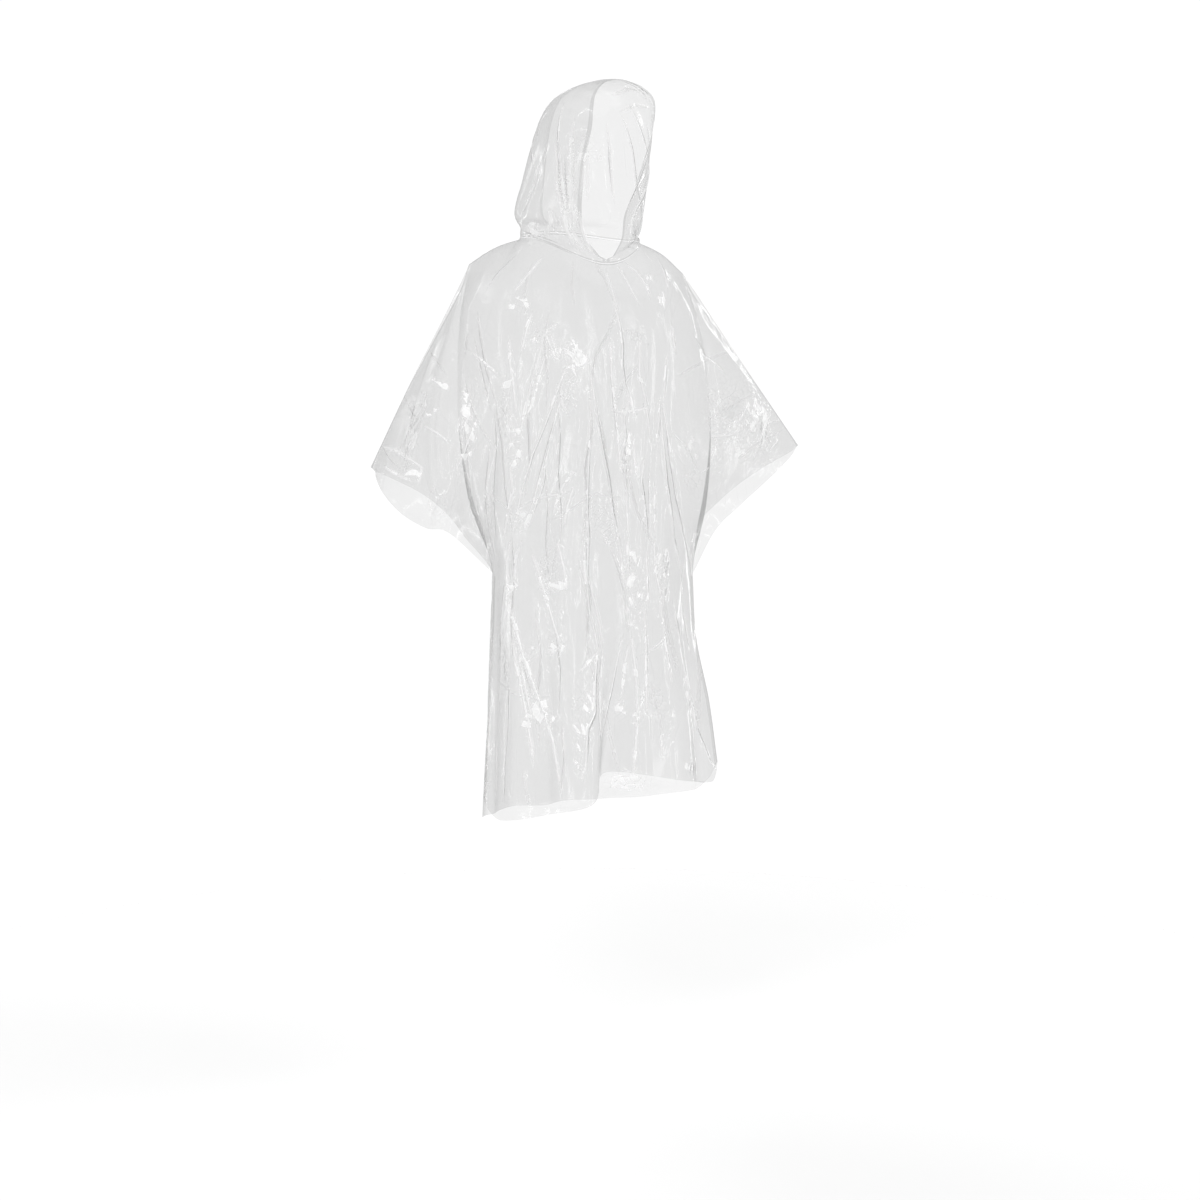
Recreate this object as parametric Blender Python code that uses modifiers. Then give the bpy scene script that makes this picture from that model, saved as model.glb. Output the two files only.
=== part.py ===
"""Disposable rain poncho of thin clear film, in its worn, hollow form.

Four pieces are welded together: a front and a back panel, each cut in one with its half of both
sleeves, and the two halves of the hood. Every piece is a wall of film: a grid of strips laid on
the garment's form and thickened outward, so the inside is the garment's empty hollow.

Frame: metres, +Z up, the wearer faces -Y and the wearer's right is -X. The origin is the point
between the shoulders that the garment hangs from. In the tables, forward is -Y, and heights are
from the origin.
"""

from bisect import bisect_right
from collections import namedtuple
from math import cos, exp, pi, sin, sqrt

import bmesh
import bpy

# Film and welds. The real film is far thinner than a wall that can be handled as a solid.
WALL = 0.0014
SEAM_GAP = 0.0003

# The neckline, an oval ring that dips at the front.
NECK_HALF_WIDTH = 0.125
NECK_FORWARD = 0.080
NECK_BACK = 0.078
NECK_SIDE_Z = 0.025
NECK_FRONT_Z = -0.022
NECK_BACK_Z = 0.040
# The ring leaves the shoulder's round top the way a circle leaves its tangent, over this part of
# its radius.
NECK_DIP = 0.8

# How far below the shoulder line the panels have turned from lying on it to hanging.
SHOULDER_ROUND = 0.100
# Length of the blunt end of a sleeve's point, where the overarm weld meets the cuff.
TIP_END = 0.016

# Columns across half a body, and across one sleeve from armhole to point. The neckline takes the
# inner half of the body's columns, and the hood has a column for each of them, front and back.
BODY_COLUMNS = 14
NECK_SHARE = 0.5
SLEEVE_COLUMNS = 6
# Rows between the shoulder line and the height of the underarm, as parts of that length, closer
# together where the film turns over the shoulder; then even rows down to the hem.
UPPER_ROWS = (0, 0.02, 0.05, 0.10, 0.17, 0.26, 0.36, 0.47, 0.58, 0.69, 0.80, 0.91, 1)
LOWER_ROWS = 12

RIGHT, LEFT = -1, 1

# Where the front and back panels are welded to each other, from the neck to the hem.
SeamPoint = namedtuple("SeamPoint", "across forward height")
SHOULDER_SEAM = {
    RIGHT: (SeamPoint(0.125, 0.0, 0.025), SeamPoint(0.190, 0.0, 0.006), SeamPoint(0.248, 0.0, -0.025)),
    LEFT: (SeamPoint(0.125, 0.0, 0.025), SeamPoint(0.188, 0.0, 0.004), SeamPoint(0.244, 0.0, -0.032)),
}
OVERARM_SEAM = {
    RIGHT: (
        SeamPoint(0.248, 0.0, -0.025),
        SeamPoint(0.279, 0.006, -0.079),
        SeamPoint(0.339, 0.018, -0.162),
        SeamPoint(0.401, 0.032, -0.246),
        SeamPoint(0.490, 0.050, -0.381),
    ),
    LEFT: (
        SeamPoint(0.244, 0.0, -0.032),
        SeamPoint(0.277, 0.005, -0.078),
        SeamPoint(0.341, 0.018, -0.162),
        SeamPoint(0.406, 0.032, -0.246),
        SeamPoint(0.499, 0.050, -0.366),
    ),
}
SIDE_SEAM = {
    RIGHT: (
        SeamPoint(0.234, 0.052, -0.581),
        SeamPoint(0.245, 0.060, -0.700),
        SeamPoint(0.261, 0.069, -0.890),
        SeamPoint(0.274, 0.074, -1.000),
    ),
    LEFT: (
        SeamPoint(0.230, 0.052, -0.607),
        SeamPoint(0.233, 0.060, -0.730),
        SeamPoint(0.258, 0.069, -0.890),
        SeamPoint(0.276, 0.074, -0.992),
    ),
}

# How far each panel stands off the plane of its seams, down the middle of the body. fullness is
# the power of the section's curve: low for a pointed oval, high for a boxy one. armhole is how
# far it stands off where the sleeve begins.
Level = namedtuple("Level", "height centre fullness armhole")
FRONT_LEVELS = (
    Level(0.03, 0.080, 2.4, 0.000),
    Level(-0.03, 0.085, 2.4, 0.010),
    Level(-0.12, 0.108, 2.8, 0.046),
    Level(-0.20, 0.116, 3.0, 0.064),
    Level(-0.35, 0.106, 2.8, 0.066),
    Level(-0.50, 0.094, 2.5, 0.036),
    Level(-0.61, 0.088, 2.3, 0.000),
    Level(-0.80, 0.080, 2.3, 0.000),
    Level(-1.05, 0.078, 2.4, 0.000),
)
BACK_LEVELS = (
    Level(0.04, 0.078, 2.4, 0.000),
    Level(-0.03, 0.112, 2.4, 0.010),
    Level(-0.12, 0.132, 2.8, 0.044),
    Level(-0.20, 0.142, 2.8, 0.064),
    Level(-0.35, 0.154, 2.6, 0.076),
    Level(-0.50, 0.168, 2.5, 0.050),
    Level(-0.61, 0.176, 2.4, 0.000),
    Level(-0.80, 0.184, 2.4, 0.000),
    Level(-1.06, 0.196, 2.4, 0.000),
)

# The free edge of a sleeve, from the underarm (0) to the sleeve's point (1): how far each lip
# stands off the seams, and how far above the straight line between them it is held up.
Lip = namedtuple("Lip", "along front back front_lift back_lift")
CUFF = {
    RIGHT: (
        Lip(0.00, 0.000, 0.000, 0.000, 0.000),
        Lip(0.15, 0.026, 0.084, 0.000, 0.040),
        Lip(0.35, 0.044, 0.088, 0.000, 0.014),
        Lip(0.60, 0.078, 0.076, 0.000, -0.004),
        Lip(0.80, 0.076, 0.058, 0.000, -0.004),
        Lip(0.95, 0.030, 0.024, 0.000, 0.000),
        Lip(1.00, 0.004, 0.004, 0.000, 0.000),
    ),
    LEFT: (
        Lip(0.00, 0.000, 0.000, 0.000, 0.000),
        Lip(0.15, 0.018, 0.034, 0.046, 0.050),
        Lip(0.35, 0.022, 0.042, 0.042, 0.046),
        Lip(0.60, 0.020, 0.040, 0.026, 0.030),
        Lip(0.80, 0.016, 0.030, 0.012, 0.014),
        Lip(0.95, 0.008, 0.012, 0.002, 0.002),
        Lip(1.00, 0.003, 0.003, 0.000, 0.000),
    ),
}

# How far the middle of a sleeve's half swells out.
SLEEVE_BULGE = 0.012
# Powers that shape a sleeve: how fast the arm's room dies away towards its point, how late it
# closes towards the cuff, and how late the cuff's lips flare.
ARM_FADE = 1.6
ARM_CLOSE = 4
CUFF_FLARE = 1.3
# Part of the armhole's depth, above the underarm, over which it narrows to the side seam.
UNDERARM_NIP = 0.25

# The hem's height across the body, from the right side seam (-1) to the left one (1).
HemPoint = namedtuple("HemPoint", "across height")
FRONT_HEM = (
    HemPoint(-1.00, -1.004),
    HemPoint(-0.92, -1.026),
    HemPoint(-0.60, -1.018),
    HemPoint(-0.30, -1.004),
    HemPoint(-0.08, -0.962),
    HemPoint(0.08, -0.962),
    HemPoint(0.45, -0.984),
    HemPoint(0.92, -1.008),
    HemPoint(1.00, -0.996),
)
BACK_HEM = (
    HemPoint(-1.00, -1.004),
    HemPoint(-0.92, -1.030),
    HemPoint(-0.50, -1.048),
    HemPoint(0.00, -1.056),
    HemPoint(0.50, -1.054),
    HemPoint(0.92, -1.034),
    HemPoint(1.00, -0.996),
)

# The largest folds, as straight soft ridges (rise above 0) and troughs (below 0) in a panel.
# Each runs from its upper end to its lower end, where it has its full rise.
Fold = namedtuple("Fold", "across_top top across_foot foot width rise_top rise_foot")
FRONT_FOLDS = (
    Fold(-0.014, -0.66, -0.024, -1.02, 0.034, 0.000, -0.062),
    Fold(-0.100, -0.55, -0.105, -1.06, 0.045, 0.000, 0.012),
    Fold(0.110, -0.60, 0.120, -1.06, 0.045, 0.000, 0.012),
    Fold(0.060, -0.10, 0.020, -0.62, 0.020, 0.002, 0.009),
    Fold(0.020, -0.12, -0.030, -0.55, 0.020, -0.002, -0.008),
    Fold(0.100, -0.22, 0.085, -0.74, 0.022, 0.002, 0.009),
    Fold(-0.120, -0.19, -0.200, -0.62, 0.024, -0.003, -0.010),
    Fold(-0.100, -0.20, -0.130, -0.70, 0.020, 0.003, 0.008),
    Fold(-0.190, -0.55, -0.150, -1.00, 0.024, 0.003, 0.010),
    Fold(0.170, -0.58, 0.205, -1.00, 0.024, -0.003, -0.012),
)
BACK_FOLDS = (
    Fold(-0.050, -0.12, -0.070, -1.08, 0.034, 0.002, 0.014),
    Fold(0.070, -0.15, 0.060, -1.08, 0.034, 0.002, 0.013),
    Fold(0.010, -0.20, -0.005, -1.08, 0.026, -0.002, -0.014),
    Fold(-0.140, -0.20, -0.165, -1.06, 0.026, -0.002, -0.013),
    Fold(0.150, -0.22, 0.175, -1.06, 0.028, -0.002, -0.013),
    Fold(0.205, -0.30, 0.215, -0.90, 0.020, 0.002, 0.008),
)

# Part of a fold's length over which it comes up, and the power by which folds die at the seams.
FOLD_START = 0.25
FOLD_SEAM_FADE = 6

# The hood from its top to the neckline. forward_front and height_front give the edge of the face
# opening, and the back columns give the seam over the crown and down the back. The half widths
# are those at the places that HOOD_PLACES names, as parts of the way from that edge to the seam.
HOOD_PLACES = (0, 0.16, 0.45, 0.75, 1)
HoodRow = namedtuple(
    "HoodRow",
    "forward_front height_front forward_back height_back edge cheek side rear",
)
HOOD = (
    HoodRow(0.123, 0.3080, -0.062, 0.288, 0.0000, 0.0000, 0.0000, 0.0000),
    HoodRow(0.125, 0.3050, -0.071, 0.280, 0.0200, 0.0240, 0.0260, 0.0210),
    HoodRow(0.130, 0.2960, -0.083, 0.266, 0.0450, 0.0500, 0.0530, 0.0420),
    HoodRow(0.136, 0.2700, -0.098, 0.238, 0.0680, 0.0760, 0.0780, 0.0600),
    HoodRow(0.129, 0.2200, -0.108, 0.198, 0.0690, 0.0940, 0.0960, 0.0720),
    HoodRow(0.108, 0.1700, -0.116, 0.158, 0.0660, 0.1060, 0.1040, 0.0780),
    HoodRow(0.087, 0.1150, -0.122, 0.120, 0.0580, 0.1140, 0.1110, 0.0830),
    HoodRow(0.071, 0.0700, -0.125, 0.092, 0.0490, 0.1180, 0.1180, 0.0890),
    HoodRow(0.073, 0.0250, -0.119, 0.070, 0.0400, 0.1060, 0.1260, 0.0940),
    HoodRow(0.080, -0.0080, -0.096, 0.056, 0.0150, 0.0700, 0.1270, 0.0870),
)
# How far the crown seam rises above the straight line between its ends.
CROWN_RISE = 0.012
# Rows of the hood's grid for each step of its table.
HOOD_STEPS = 2
# The hood's last strip stands upright on the neckline weld.
HOOD_FOOT = 0.007
# How far the neckline is higher at its sides than halfway between its front and its back.
NECK_SIDE_RISE = NECK_SIDE_Z - (NECK_FRONT_Z + NECK_BACK_Z) / 2

FILM_COLOUR = (0.80, 0.82, 0.83)
FILM_ROUGHNESS = 0.12


def follow(stations, values, place):
    """A smooth curve through the values at rising stations, read at one place."""
    if place <= stations[0]:
        return values[0]
    if place >= stations[-1]:
        return values[-1]
    index = bisect_right(stations, place) - 1
    last = len(stations) - 1

    def slope(at):
        before = max(at - 1, 0)
        after = min(at + 1, last)
        return (values[after] - values[before]) / (stations[after] - stations[before])

    span = stations[index + 1] - stations[index]
    part = (place - stations[index]) / span
    rest = 1 - part
    start = values[index] * (1 + 2 * part) + slope(index) * span * part
    end = values[index + 1] * (1 + 2 * rest) - slope(index + 1) * span * rest
    return start * rest**2 + end * part**2


def column(rows, name):
    """One named column of a table."""
    return [getattr(row, name) for row in rows]


def along(rows, part):
    """The point at part (0 to 1) of a seam, its rows taken as evenly spaced."""
    stations = [index / (len(rows) - 1) for index in range(len(rows))]
    return SeamPoint(*(follow(stations, column(rows, name), part) for name in SeamPoint._fields))


def by_height(levels, name, height):
    """A level table's column, read at a height."""
    rising = levels[::-1]
    return follow(column(rising, "height"), column(rising, name), height)


def between(low, high, part):
    return low + (high - low) * part


def turned_down(distance):
    """How far the film has turned over the shoulder, 0 to 1, at a distance below its seam."""
    left = 1 - min(max(distance / SHOULDER_ROUND, 0), 1)
    return sqrt(1 - left**2)


def neckline(part):
    """Half width, forward reach and height of the neckline, from its front (0) to its back (1)."""
    turn = pi * part
    reach, middle_z = (NECK_FORWARD, NECK_FRONT_Z) if part < 0.5 else (NECK_BACK, NECK_BACK_Z)
    dip = (1 - sqrt(1 - (NECK_DIP * cos(turn)) ** 2)) / (1 - sqrt(1 - NECK_DIP**2))
    height = between(NECK_SIDE_Z, middle_z, dip)
    return NECK_HALF_WIDTH * sin(turn), reach * cos(turn), height


def fold_rise(folds, across, height):
    """What the folds add to a panel at one place."""
    total = 0
    for fold in folds:
        part = (fold.top - height) / (fold.top - fold.foot)
        if not 0 < part < 1:
            continue
        middle = between(fold.across_top, fold.across_foot, part)
        fade = sin(min(part / FOLD_START, 1) * pi / 2)
        shape = exp(-(((across - middle) / fold.width) ** 2))
        total += between(fold.rise_top, fold.rise_foot, part) * fade * shape
    return total


class Panel:
    """The front or the back panel, with its half of both sleeves."""

    def __init__(self, facing, levels, hem, folds, lip):
        self.facing = facing
        self.levels = levels
        self.hem = hem
        self.folds = folds
        self.lip = lip

    def placed(self, across, seam_forward, stand_off, height):
        """The point that stands off the seams' plane, on this panel's side of it."""
        return (across, -seam_forward + self.facing * (stand_off + SEAM_GAP / 2), height)

    def top_edge(self, across):
        """The panel's top edge: the neckline, then the shoulder seam, and its stand-off."""
        side = RIGHT if across < 0 else LEFT
        if abs(across) < NECK_SHARE:
            part = abs(across) / NECK_SHARE / 2
            wide, forward, height = neckline(part if self.lip == "front" else 1 - part)
            return wide, abs(forward), height
        part = (abs(across) - NECK_SHARE) / (1 - NECK_SHARE)
        seam = along(SHOULDER_SEAM[side], part)
        return seam.across, 0, seam.height

    def body_point(self, across, row):
        """A point of the body: across is -1 to 1 between the side seams, row counts from the top."""
        side = RIGHT if across < 0 else LEFT
        upper = len(UPPER_ROWS) - 1
        edge_wide, edge_off, top = self.top_edge(across)
        underarm_level = between(SIDE_SEAM[RIGHT][0].height, SIDE_SEAM[LEFT][0].height, (across + 1) / 2)
        shoulder = SHOULDER_SEAM[side][-1]
        underarm = SIDE_SEAM[side][0]
        if row <= upper:
            part = UPPER_ROWS[row]
            height = between(top, underarm_level, part)
            half = between(shoulder.across, underarm.across, part)
            seam_forward = between(shoulder.forward, underarm.forward, part)
            stand_off_side = self.armhole(part)
        else:
            part = (row - upper) / LOWER_ROWS
            hem_height = follow(column(self.hem, "across"), column(self.hem, "height"), across)
            height = between(underarm_level, hem_height, part)
            seam = along(SIDE_SEAM[side], part)
            half = seam.across
            seam_forward = seam.forward
            stand_off_side = 0
        fullness = by_height(self.levels, "fullness", height)
        middle = by_height(self.levels, "centre", height)
        hang = stand_off_side + (middle - stand_off_side) * (1 - abs(across) ** fullness)
        turn = turned_down(top - height)
        wide = side * between(edge_wide, abs(across) * half, turn)
        hang += fold_rise(self.folds, wide, height) * (1 - abs(across) ** FOLD_SEAM_FADE)
        return self.placed(wide, seam_forward, between(edge_off, hang, turn), height)

    def armhole(self, part):
        """Stand-off where the sleeve begins, from the shoulder (0) to the underarm (1)."""
        height = between(SHOULDER_SEAM[RIGHT][-1].height, SIDE_SEAM[RIGHT][0].height, part)
        nearing = sin(min((1 - part) / UNDERARM_NIP, 1) * pi / 2)
        return by_height(self.levels, "armhole", height) * nearing

    def sleeve_point(self, side, outward, row):
        """A point of a sleeve: outward is 0 at the armhole and 1 at the sleeve's point."""
        part = UPPER_ROWS[row]
        ridge = along(OVERARM_SEAM[side], outward)
        tip = OVERARM_SEAM[side][-1]
        underarm = SIDE_SEAM[side][0]
        lean = TIP_END / sqrt((tip.across - underarm.across) ** 2 + (tip.height - underarm.height) ** 2)
        cuff_part = between(0, 1 - lean, outward)
        lips = column(CUFF[side], "along")
        lift = follow(lips, column(CUFF[side], self.lip + "_lift"), outward)
        cuff = SeamPoint(
            between(underarm.across, tip.across, cuff_part),
            between(underarm.forward, tip.forward, cuff_part),
            between(underarm.height, tip.height, cuff_part) + lift,
        )
        place = SeamPoint(*(between(ridge[i], cuff[i], part) for i in range(3)))
        lip_off = follow(lips, column(CUFF[side], self.lip), outward)
        hang = self.armhole(part) * (1 - outward) ** ARM_FADE * (1 - part**ARM_CLOSE)
        hang += lip_off * part**CUFF_FLARE
        hang += SLEEVE_BULGE * sin(pi * part) * sin(pi * outward)
        return self.placed(side * place.across, place.forward, hang, place.height)

    def point(self, column_index, row):
        """The point at a column, counted from the right sleeve's point, and a row."""
        body_start = SLEEVE_COLUMNS
        body_end = SLEEVE_COLUMNS + 2 * BODY_COLUMNS
        if column_index < body_start:
            return self.sleeve_point(RIGHT, 1 - column_index / SLEEVE_COLUMNS, row)
        if column_index > body_end:
            return self.sleeve_point(LEFT, (column_index - body_end) / SLEEVE_COLUMNS, row)
        return self.body_point((column_index - body_start) / BODY_COLUMNS - 1, row)


def sheet_object(name, columns, rows, point, wanted, collection):
    """A wall of film: a grid with its cells kept or cut away, laid on a form and thickened."""
    mesh = bmesh.new()
    bmesh.ops.create_grid(mesh, x_segments=columns, y_segments=rows, size=1)
    places = {}
    for vertex in mesh.verts:
        across = round((vertex.co.x + 1) / 2 * columns)
        down = round((1 - vertex.co.y) / 2 * rows)
        places[vertex] = (across, down)
    surplus = []
    for face in mesh.faces:
        cell = tuple(min(places[vertex][i] for vertex in face.verts) for i in range(2))
        if not wanted(*cell):
            surplus.append(face)
    bmesh.ops.delete(mesh, geom=surplus, context="FACES")
    for vertex in mesh.verts:
        vertex.co = point(*places[vertex])
    data = bpy.data.meshes.new(name)
    mesh.to_mesh(data)
    mesh.free()
    data.shade_smooth()
    body = bpy.data.objects.new(name, data)
    collection.objects.link(body)
    wall = body.modifiers.new("film wall", "SOLIDIFY")
    wall.thickness = WALL
    data.materials.append(film(name))
    return body


def film(name):
    """Clear polythene film."""
    material = bpy.data.materials.new(name + "_film")
    material.use_nodes = True
    shader = material.node_tree.nodes["Principled BSDF"]
    shader.inputs["Base Color"].default_value = (*FILM_COLOUR, 1)
    shader.inputs["Roughness"].default_value = FILM_ROUGHNESS
    shader.inputs["Metallic"].default_value = 0
    return material


def build_panel(name, panel, outside, collection):
    """A panel's grid runs from one sleeve's point to the other's; sleeves end at the cuff row."""
    upper = len(UPPER_ROWS) - 1
    columns = 2 * (BODY_COLUMNS + SLEEVE_COLUMNS)

    def wanted(column_index, row):
        in_body = SLEEVE_COLUMNS <= column_index < SLEEVE_COLUMNS + 2 * BODY_COLUMNS
        return in_body or row < upper

    body = sheet_object(name, columns, upper + LOWER_ROWS, panel.point, wanted, collection)
    body.modifiers["film wall"].offset = outside
    return body


def hood_point(side, across, down):
    """A point of a hood half: across is 0 at the face opening and 1 at the back, down is 0 to 1."""
    stations = [index / (len(HOOD) - 1) for index in range(len(HOOD))]
    at = {name: follow(stations, column(HOOD, name), down) for name in HoodRow._fields}
    forward = between(at["forward_front"], at["forward_back"], across)
    height = between(at["height_front"], at["height_back"], across)
    height += CROWN_RISE * sin(pi * across) * (1 - down) ** 2
    height += NECK_SIDE_RISE * sin(pi * across) * down**2
    widths = (at["edge"], at["cheek"], at["side"], at["rear"], 0)
    wide = follow(HOOD_PLACES, widths, across)
    return (side * (wide + SEAM_GAP / 2), -forward, height)


def build_hood_half(name, side, collection):
    """A hood half stands on the neckline with one upright strip, and the rest rises above it."""
    columns = round(2 * NECK_SHARE * BODY_COLUMNS)
    strips = HOOD_STEPS * (len(HOOD) - 1) + 2

    def point(column_index, row):
        across = column_index / columns
        if row <= strips - 2:
            return hood_point(side, across, row / (strips - 2))
        wide, forward, height = neckline(across)
        above = WALL + SEAM_GAP + HOOD_FOOT * (strips - row)
        return (side * (wide + SEAM_GAP / 2), -forward, height + above)

    body = sheet_object(name, columns, strips, point, lambda *cell: True, collection)
    body.modifiers["film wall"].offset = side
    return body


def main():
    for item in list(bpy.data.objects):
        bpy.data.objects.remove(item, do_unlink=True)
    garment = bpy.data.collections.new("disposable_rain_poncho")
    bpy.context.scene.collection.children.link(garment)

    front = Panel(-1, FRONT_LEVELS, FRONT_HEM, FRONT_FOLDS, "front")
    back = Panel(1, BACK_LEVELS, BACK_HEM, BACK_FOLDS, "back")
    build_panel("front_panel", front, 1, garment)
    build_panel("back_panel", back, -1, garment)
    build_hood_half("hood_right", RIGHT, garment)
    build_hood_half("hood_left", LEFT, garment)


main()
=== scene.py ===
"""Looks of a disposable rain poncho of thin clear film, in its worn, hollow form.

The garment is four pieces of film welded together: a front and a back panel, each cut in one with
its half of both sleeves, and the two halves of the hood. Each piece is laid out here as one fine
sheet on the garment's form, and the creases of wear and of the packet are pressed into it.

Frame: metres, +Z up, the wearer faces -Y and the wearer's right is -X. The origin is the point
between the shoulders that the garment hangs from. In the tables, forward is -Y, and heights are
from the origin.
"""

from collections import namedtuple
from math import cos, hypot, pi, radians, sin, sqrt

import bpy
import numpy as np
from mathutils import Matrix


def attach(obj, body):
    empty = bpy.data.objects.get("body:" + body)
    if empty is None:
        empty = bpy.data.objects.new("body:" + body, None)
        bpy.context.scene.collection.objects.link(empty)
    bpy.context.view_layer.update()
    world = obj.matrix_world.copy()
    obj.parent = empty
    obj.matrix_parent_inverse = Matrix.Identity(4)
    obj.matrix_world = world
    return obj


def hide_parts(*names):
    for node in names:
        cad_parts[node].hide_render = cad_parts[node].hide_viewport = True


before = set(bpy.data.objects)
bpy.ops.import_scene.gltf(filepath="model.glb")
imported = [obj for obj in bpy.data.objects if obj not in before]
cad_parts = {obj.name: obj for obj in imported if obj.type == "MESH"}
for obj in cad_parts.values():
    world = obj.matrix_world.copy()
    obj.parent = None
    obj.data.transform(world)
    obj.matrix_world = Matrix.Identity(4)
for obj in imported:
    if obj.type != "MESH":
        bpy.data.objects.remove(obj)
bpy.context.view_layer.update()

# ---- The garment's form, in the same sizes as its solids ----

WALL = 0.0014
SEAM_GAP = 0.0003

# The neckline, an oval ring that dips at the front.
NECK_HALF_WIDTH = 0.125
NECK_FORWARD = 0.080
NECK_BACK = 0.078
NECK_SIDE_Z = 0.025
NECK_FRONT_Z = -0.022
NECK_BACK_Z = 0.040
NECK_DIP = 0.8

# How far below the shoulder line the panels have turned from lying on it to hanging.
SHOULDER_ROUND = 0.100
# Length of the blunt end of a sleeve's point, where the overarm weld meets the cuff.
TIP_END = 0.016
# The neckline takes this part of the body's columns.
NECK_SHARE = 0.5

RIGHT, LEFT = -1, 1


def table(kind, *rows):
    """The rows of a table whose columns kind names."""
    return tuple(kind(*row) for row in rows)


# Where the front and back panels are welded to each other, from the neck to the hem.
SeamPoint = namedtuple("SeamPoint", "across forward height")
SHOULDER_SEAM = {
    RIGHT: table(SeamPoint, (0.125, 0, 0.025), (0.190, 0, 0.006), (0.248, 0, -0.025)),
    LEFT: table(SeamPoint, (0.125, 0, 0.025), (0.188, 0, 0.004), (0.244, 0, -0.032)),
}
OVERARM_SEAM = {
    RIGHT: table(
        SeamPoint,
        (0.248, 0, -0.025),
        (0.279, 0.006, -0.079),
        (0.339, 0.018, -0.162),
        (0.401, 0.032, -0.246),
        (0.490, 0.050, -0.381),
    ),
    LEFT: table(
        SeamPoint,
        (0.244, 0, -0.032),
        (0.277, 0.005, -0.078),
        (0.341, 0.018, -0.162),
        (0.406, 0.032, -0.246),
        (0.499, 0.050, -0.366),
    ),
}
SIDE_SEAM = {
    RIGHT: table(
        SeamPoint,
        (0.234, 0.052, -0.581),
        (0.245, 0.060, -0.700),
        (0.261, 0.069, -0.890),
        (0.274, 0.074, -1.000),
    ),
    LEFT: table(
        SeamPoint,
        (0.230, 0.052, -0.607),
        (0.233, 0.060, -0.730),
        (0.258, 0.069, -0.890),
        (0.276, 0.074, -0.992),
    ),
}

# How far each panel stands off the plane of its seams, down the middle of the body. fullness is
# the power of the section's curve: low for a pointed oval, high for a boxy one. armhole is how
# far it stands off where the sleeve begins.
Level = namedtuple("Level", "height centre fullness armhole")
FRONT_LEVELS = table(
    Level,
    (0.03, 0.080, 2.4, 0),
    (-0.03, 0.085, 2.4, 0.010),
    (-0.12, 0.108, 2.8, 0.046),
    (-0.20, 0.116, 3.0, 0.064),
    (-0.35, 0.106, 2.8, 0.066),
    (-0.50, 0.094, 2.5, 0.036),
    (-0.61, 0.088, 2.3, 0),
    (-0.80, 0.080, 2.3, 0),
    (-1.05, 0.078, 2.4, 0),
)
BACK_LEVELS = table(
    Level,
    (0.04, 0.078, 2.4, 0),
    (-0.03, 0.112, 2.4, 0.010),
    (-0.12, 0.132, 2.8, 0.044),
    (-0.20, 0.142, 2.8, 0.064),
    (-0.35, 0.154, 2.6, 0.076),
    (-0.50, 0.168, 2.5, 0.050),
    (-0.61, 0.176, 2.4, 0),
    (-0.80, 0.184, 2.4, 0),
    (-1.06, 0.196, 2.4, 0),
)

# The free edge of a sleeve, from the underarm (0) to the sleeve's point (1): how far each lip
# stands off the seams, and how far above the straight line between them it is held up.
Lip = namedtuple("Lip", "along front back front_lift back_lift")
CUFF = {
    RIGHT: table(
        Lip,
        (0, 0, 0, 0, 0),
        (0.15, 0.026, 0.084, 0, 0.040),
        (0.35, 0.044, 0.088, 0, 0.014),
        (0.60, 0.078, 0.076, 0, -0.004),
        (0.80, 0.076, 0.058, 0, -0.004),
        (0.95, 0.030, 0.024, 0, 0),
        (1.00, 0.004, 0.004, 0, 0),
    ),
    LEFT: table(
        Lip,
        (0, 0, 0, 0, 0),
        (0.15, 0.018, 0.034, 0.046, 0.050),
        (0.35, 0.022, 0.042, 0.042, 0.046),
        (0.60, 0.020, 0.040, 0.026, 0.030),
        (0.80, 0.016, 0.030, 0.012, 0.014),
        (0.95, 0.008, 0.012, 0.002, 0.002),
        (1.00, 0.003, 0.003, 0, 0),
    ),
}

# How far the middle of a sleeve's half swells out, and the powers that shape a sleeve: how fast
# the arm's room dies away towards its point, how late it closes, and how late the lips flare.
SLEEVE_BULGE = 0.012
ARM_FADE = 1.6
ARM_CLOSE = 4
CUFF_FLARE = 1.3
# The first part of a sleeve's length, where its top turns round like the shoulder.
SLEEVE_TOP = 0.3
# Part of the armhole's depth, above the underarm, over which it narrows to the side seam.
UNDERARM_NIP = 0.25

# The hem's height across the body, from the right side seam (-1) to the left one (1).
HemPoint = namedtuple("HemPoint", "across height")
FRONT_HEM = table(
    HemPoint,
    (-1.00, -0.984),
    (-0.97, -1.008),
    (-0.90, -1.026),
    (-0.60, -1.018),
    (-0.30, -1.004),
    (-0.08, -0.962),
    (0.08, -0.962),
    (0.45, -0.984),
    (0.90, -1.008),
    (0.97, -0.996),
    (1.00, -0.974),
)
BACK_HEM = table(
    HemPoint,
    (-1.00, -0.984),
    (-0.97, -1.008),
    (-0.90, -1.030),
    (-0.50, -1.048),
    (0, -1.056),
    (0.50, -1.054),
    (0.90, -1.034),
    (0.97, -1.006),
    (1.00, -0.974),
)

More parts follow.
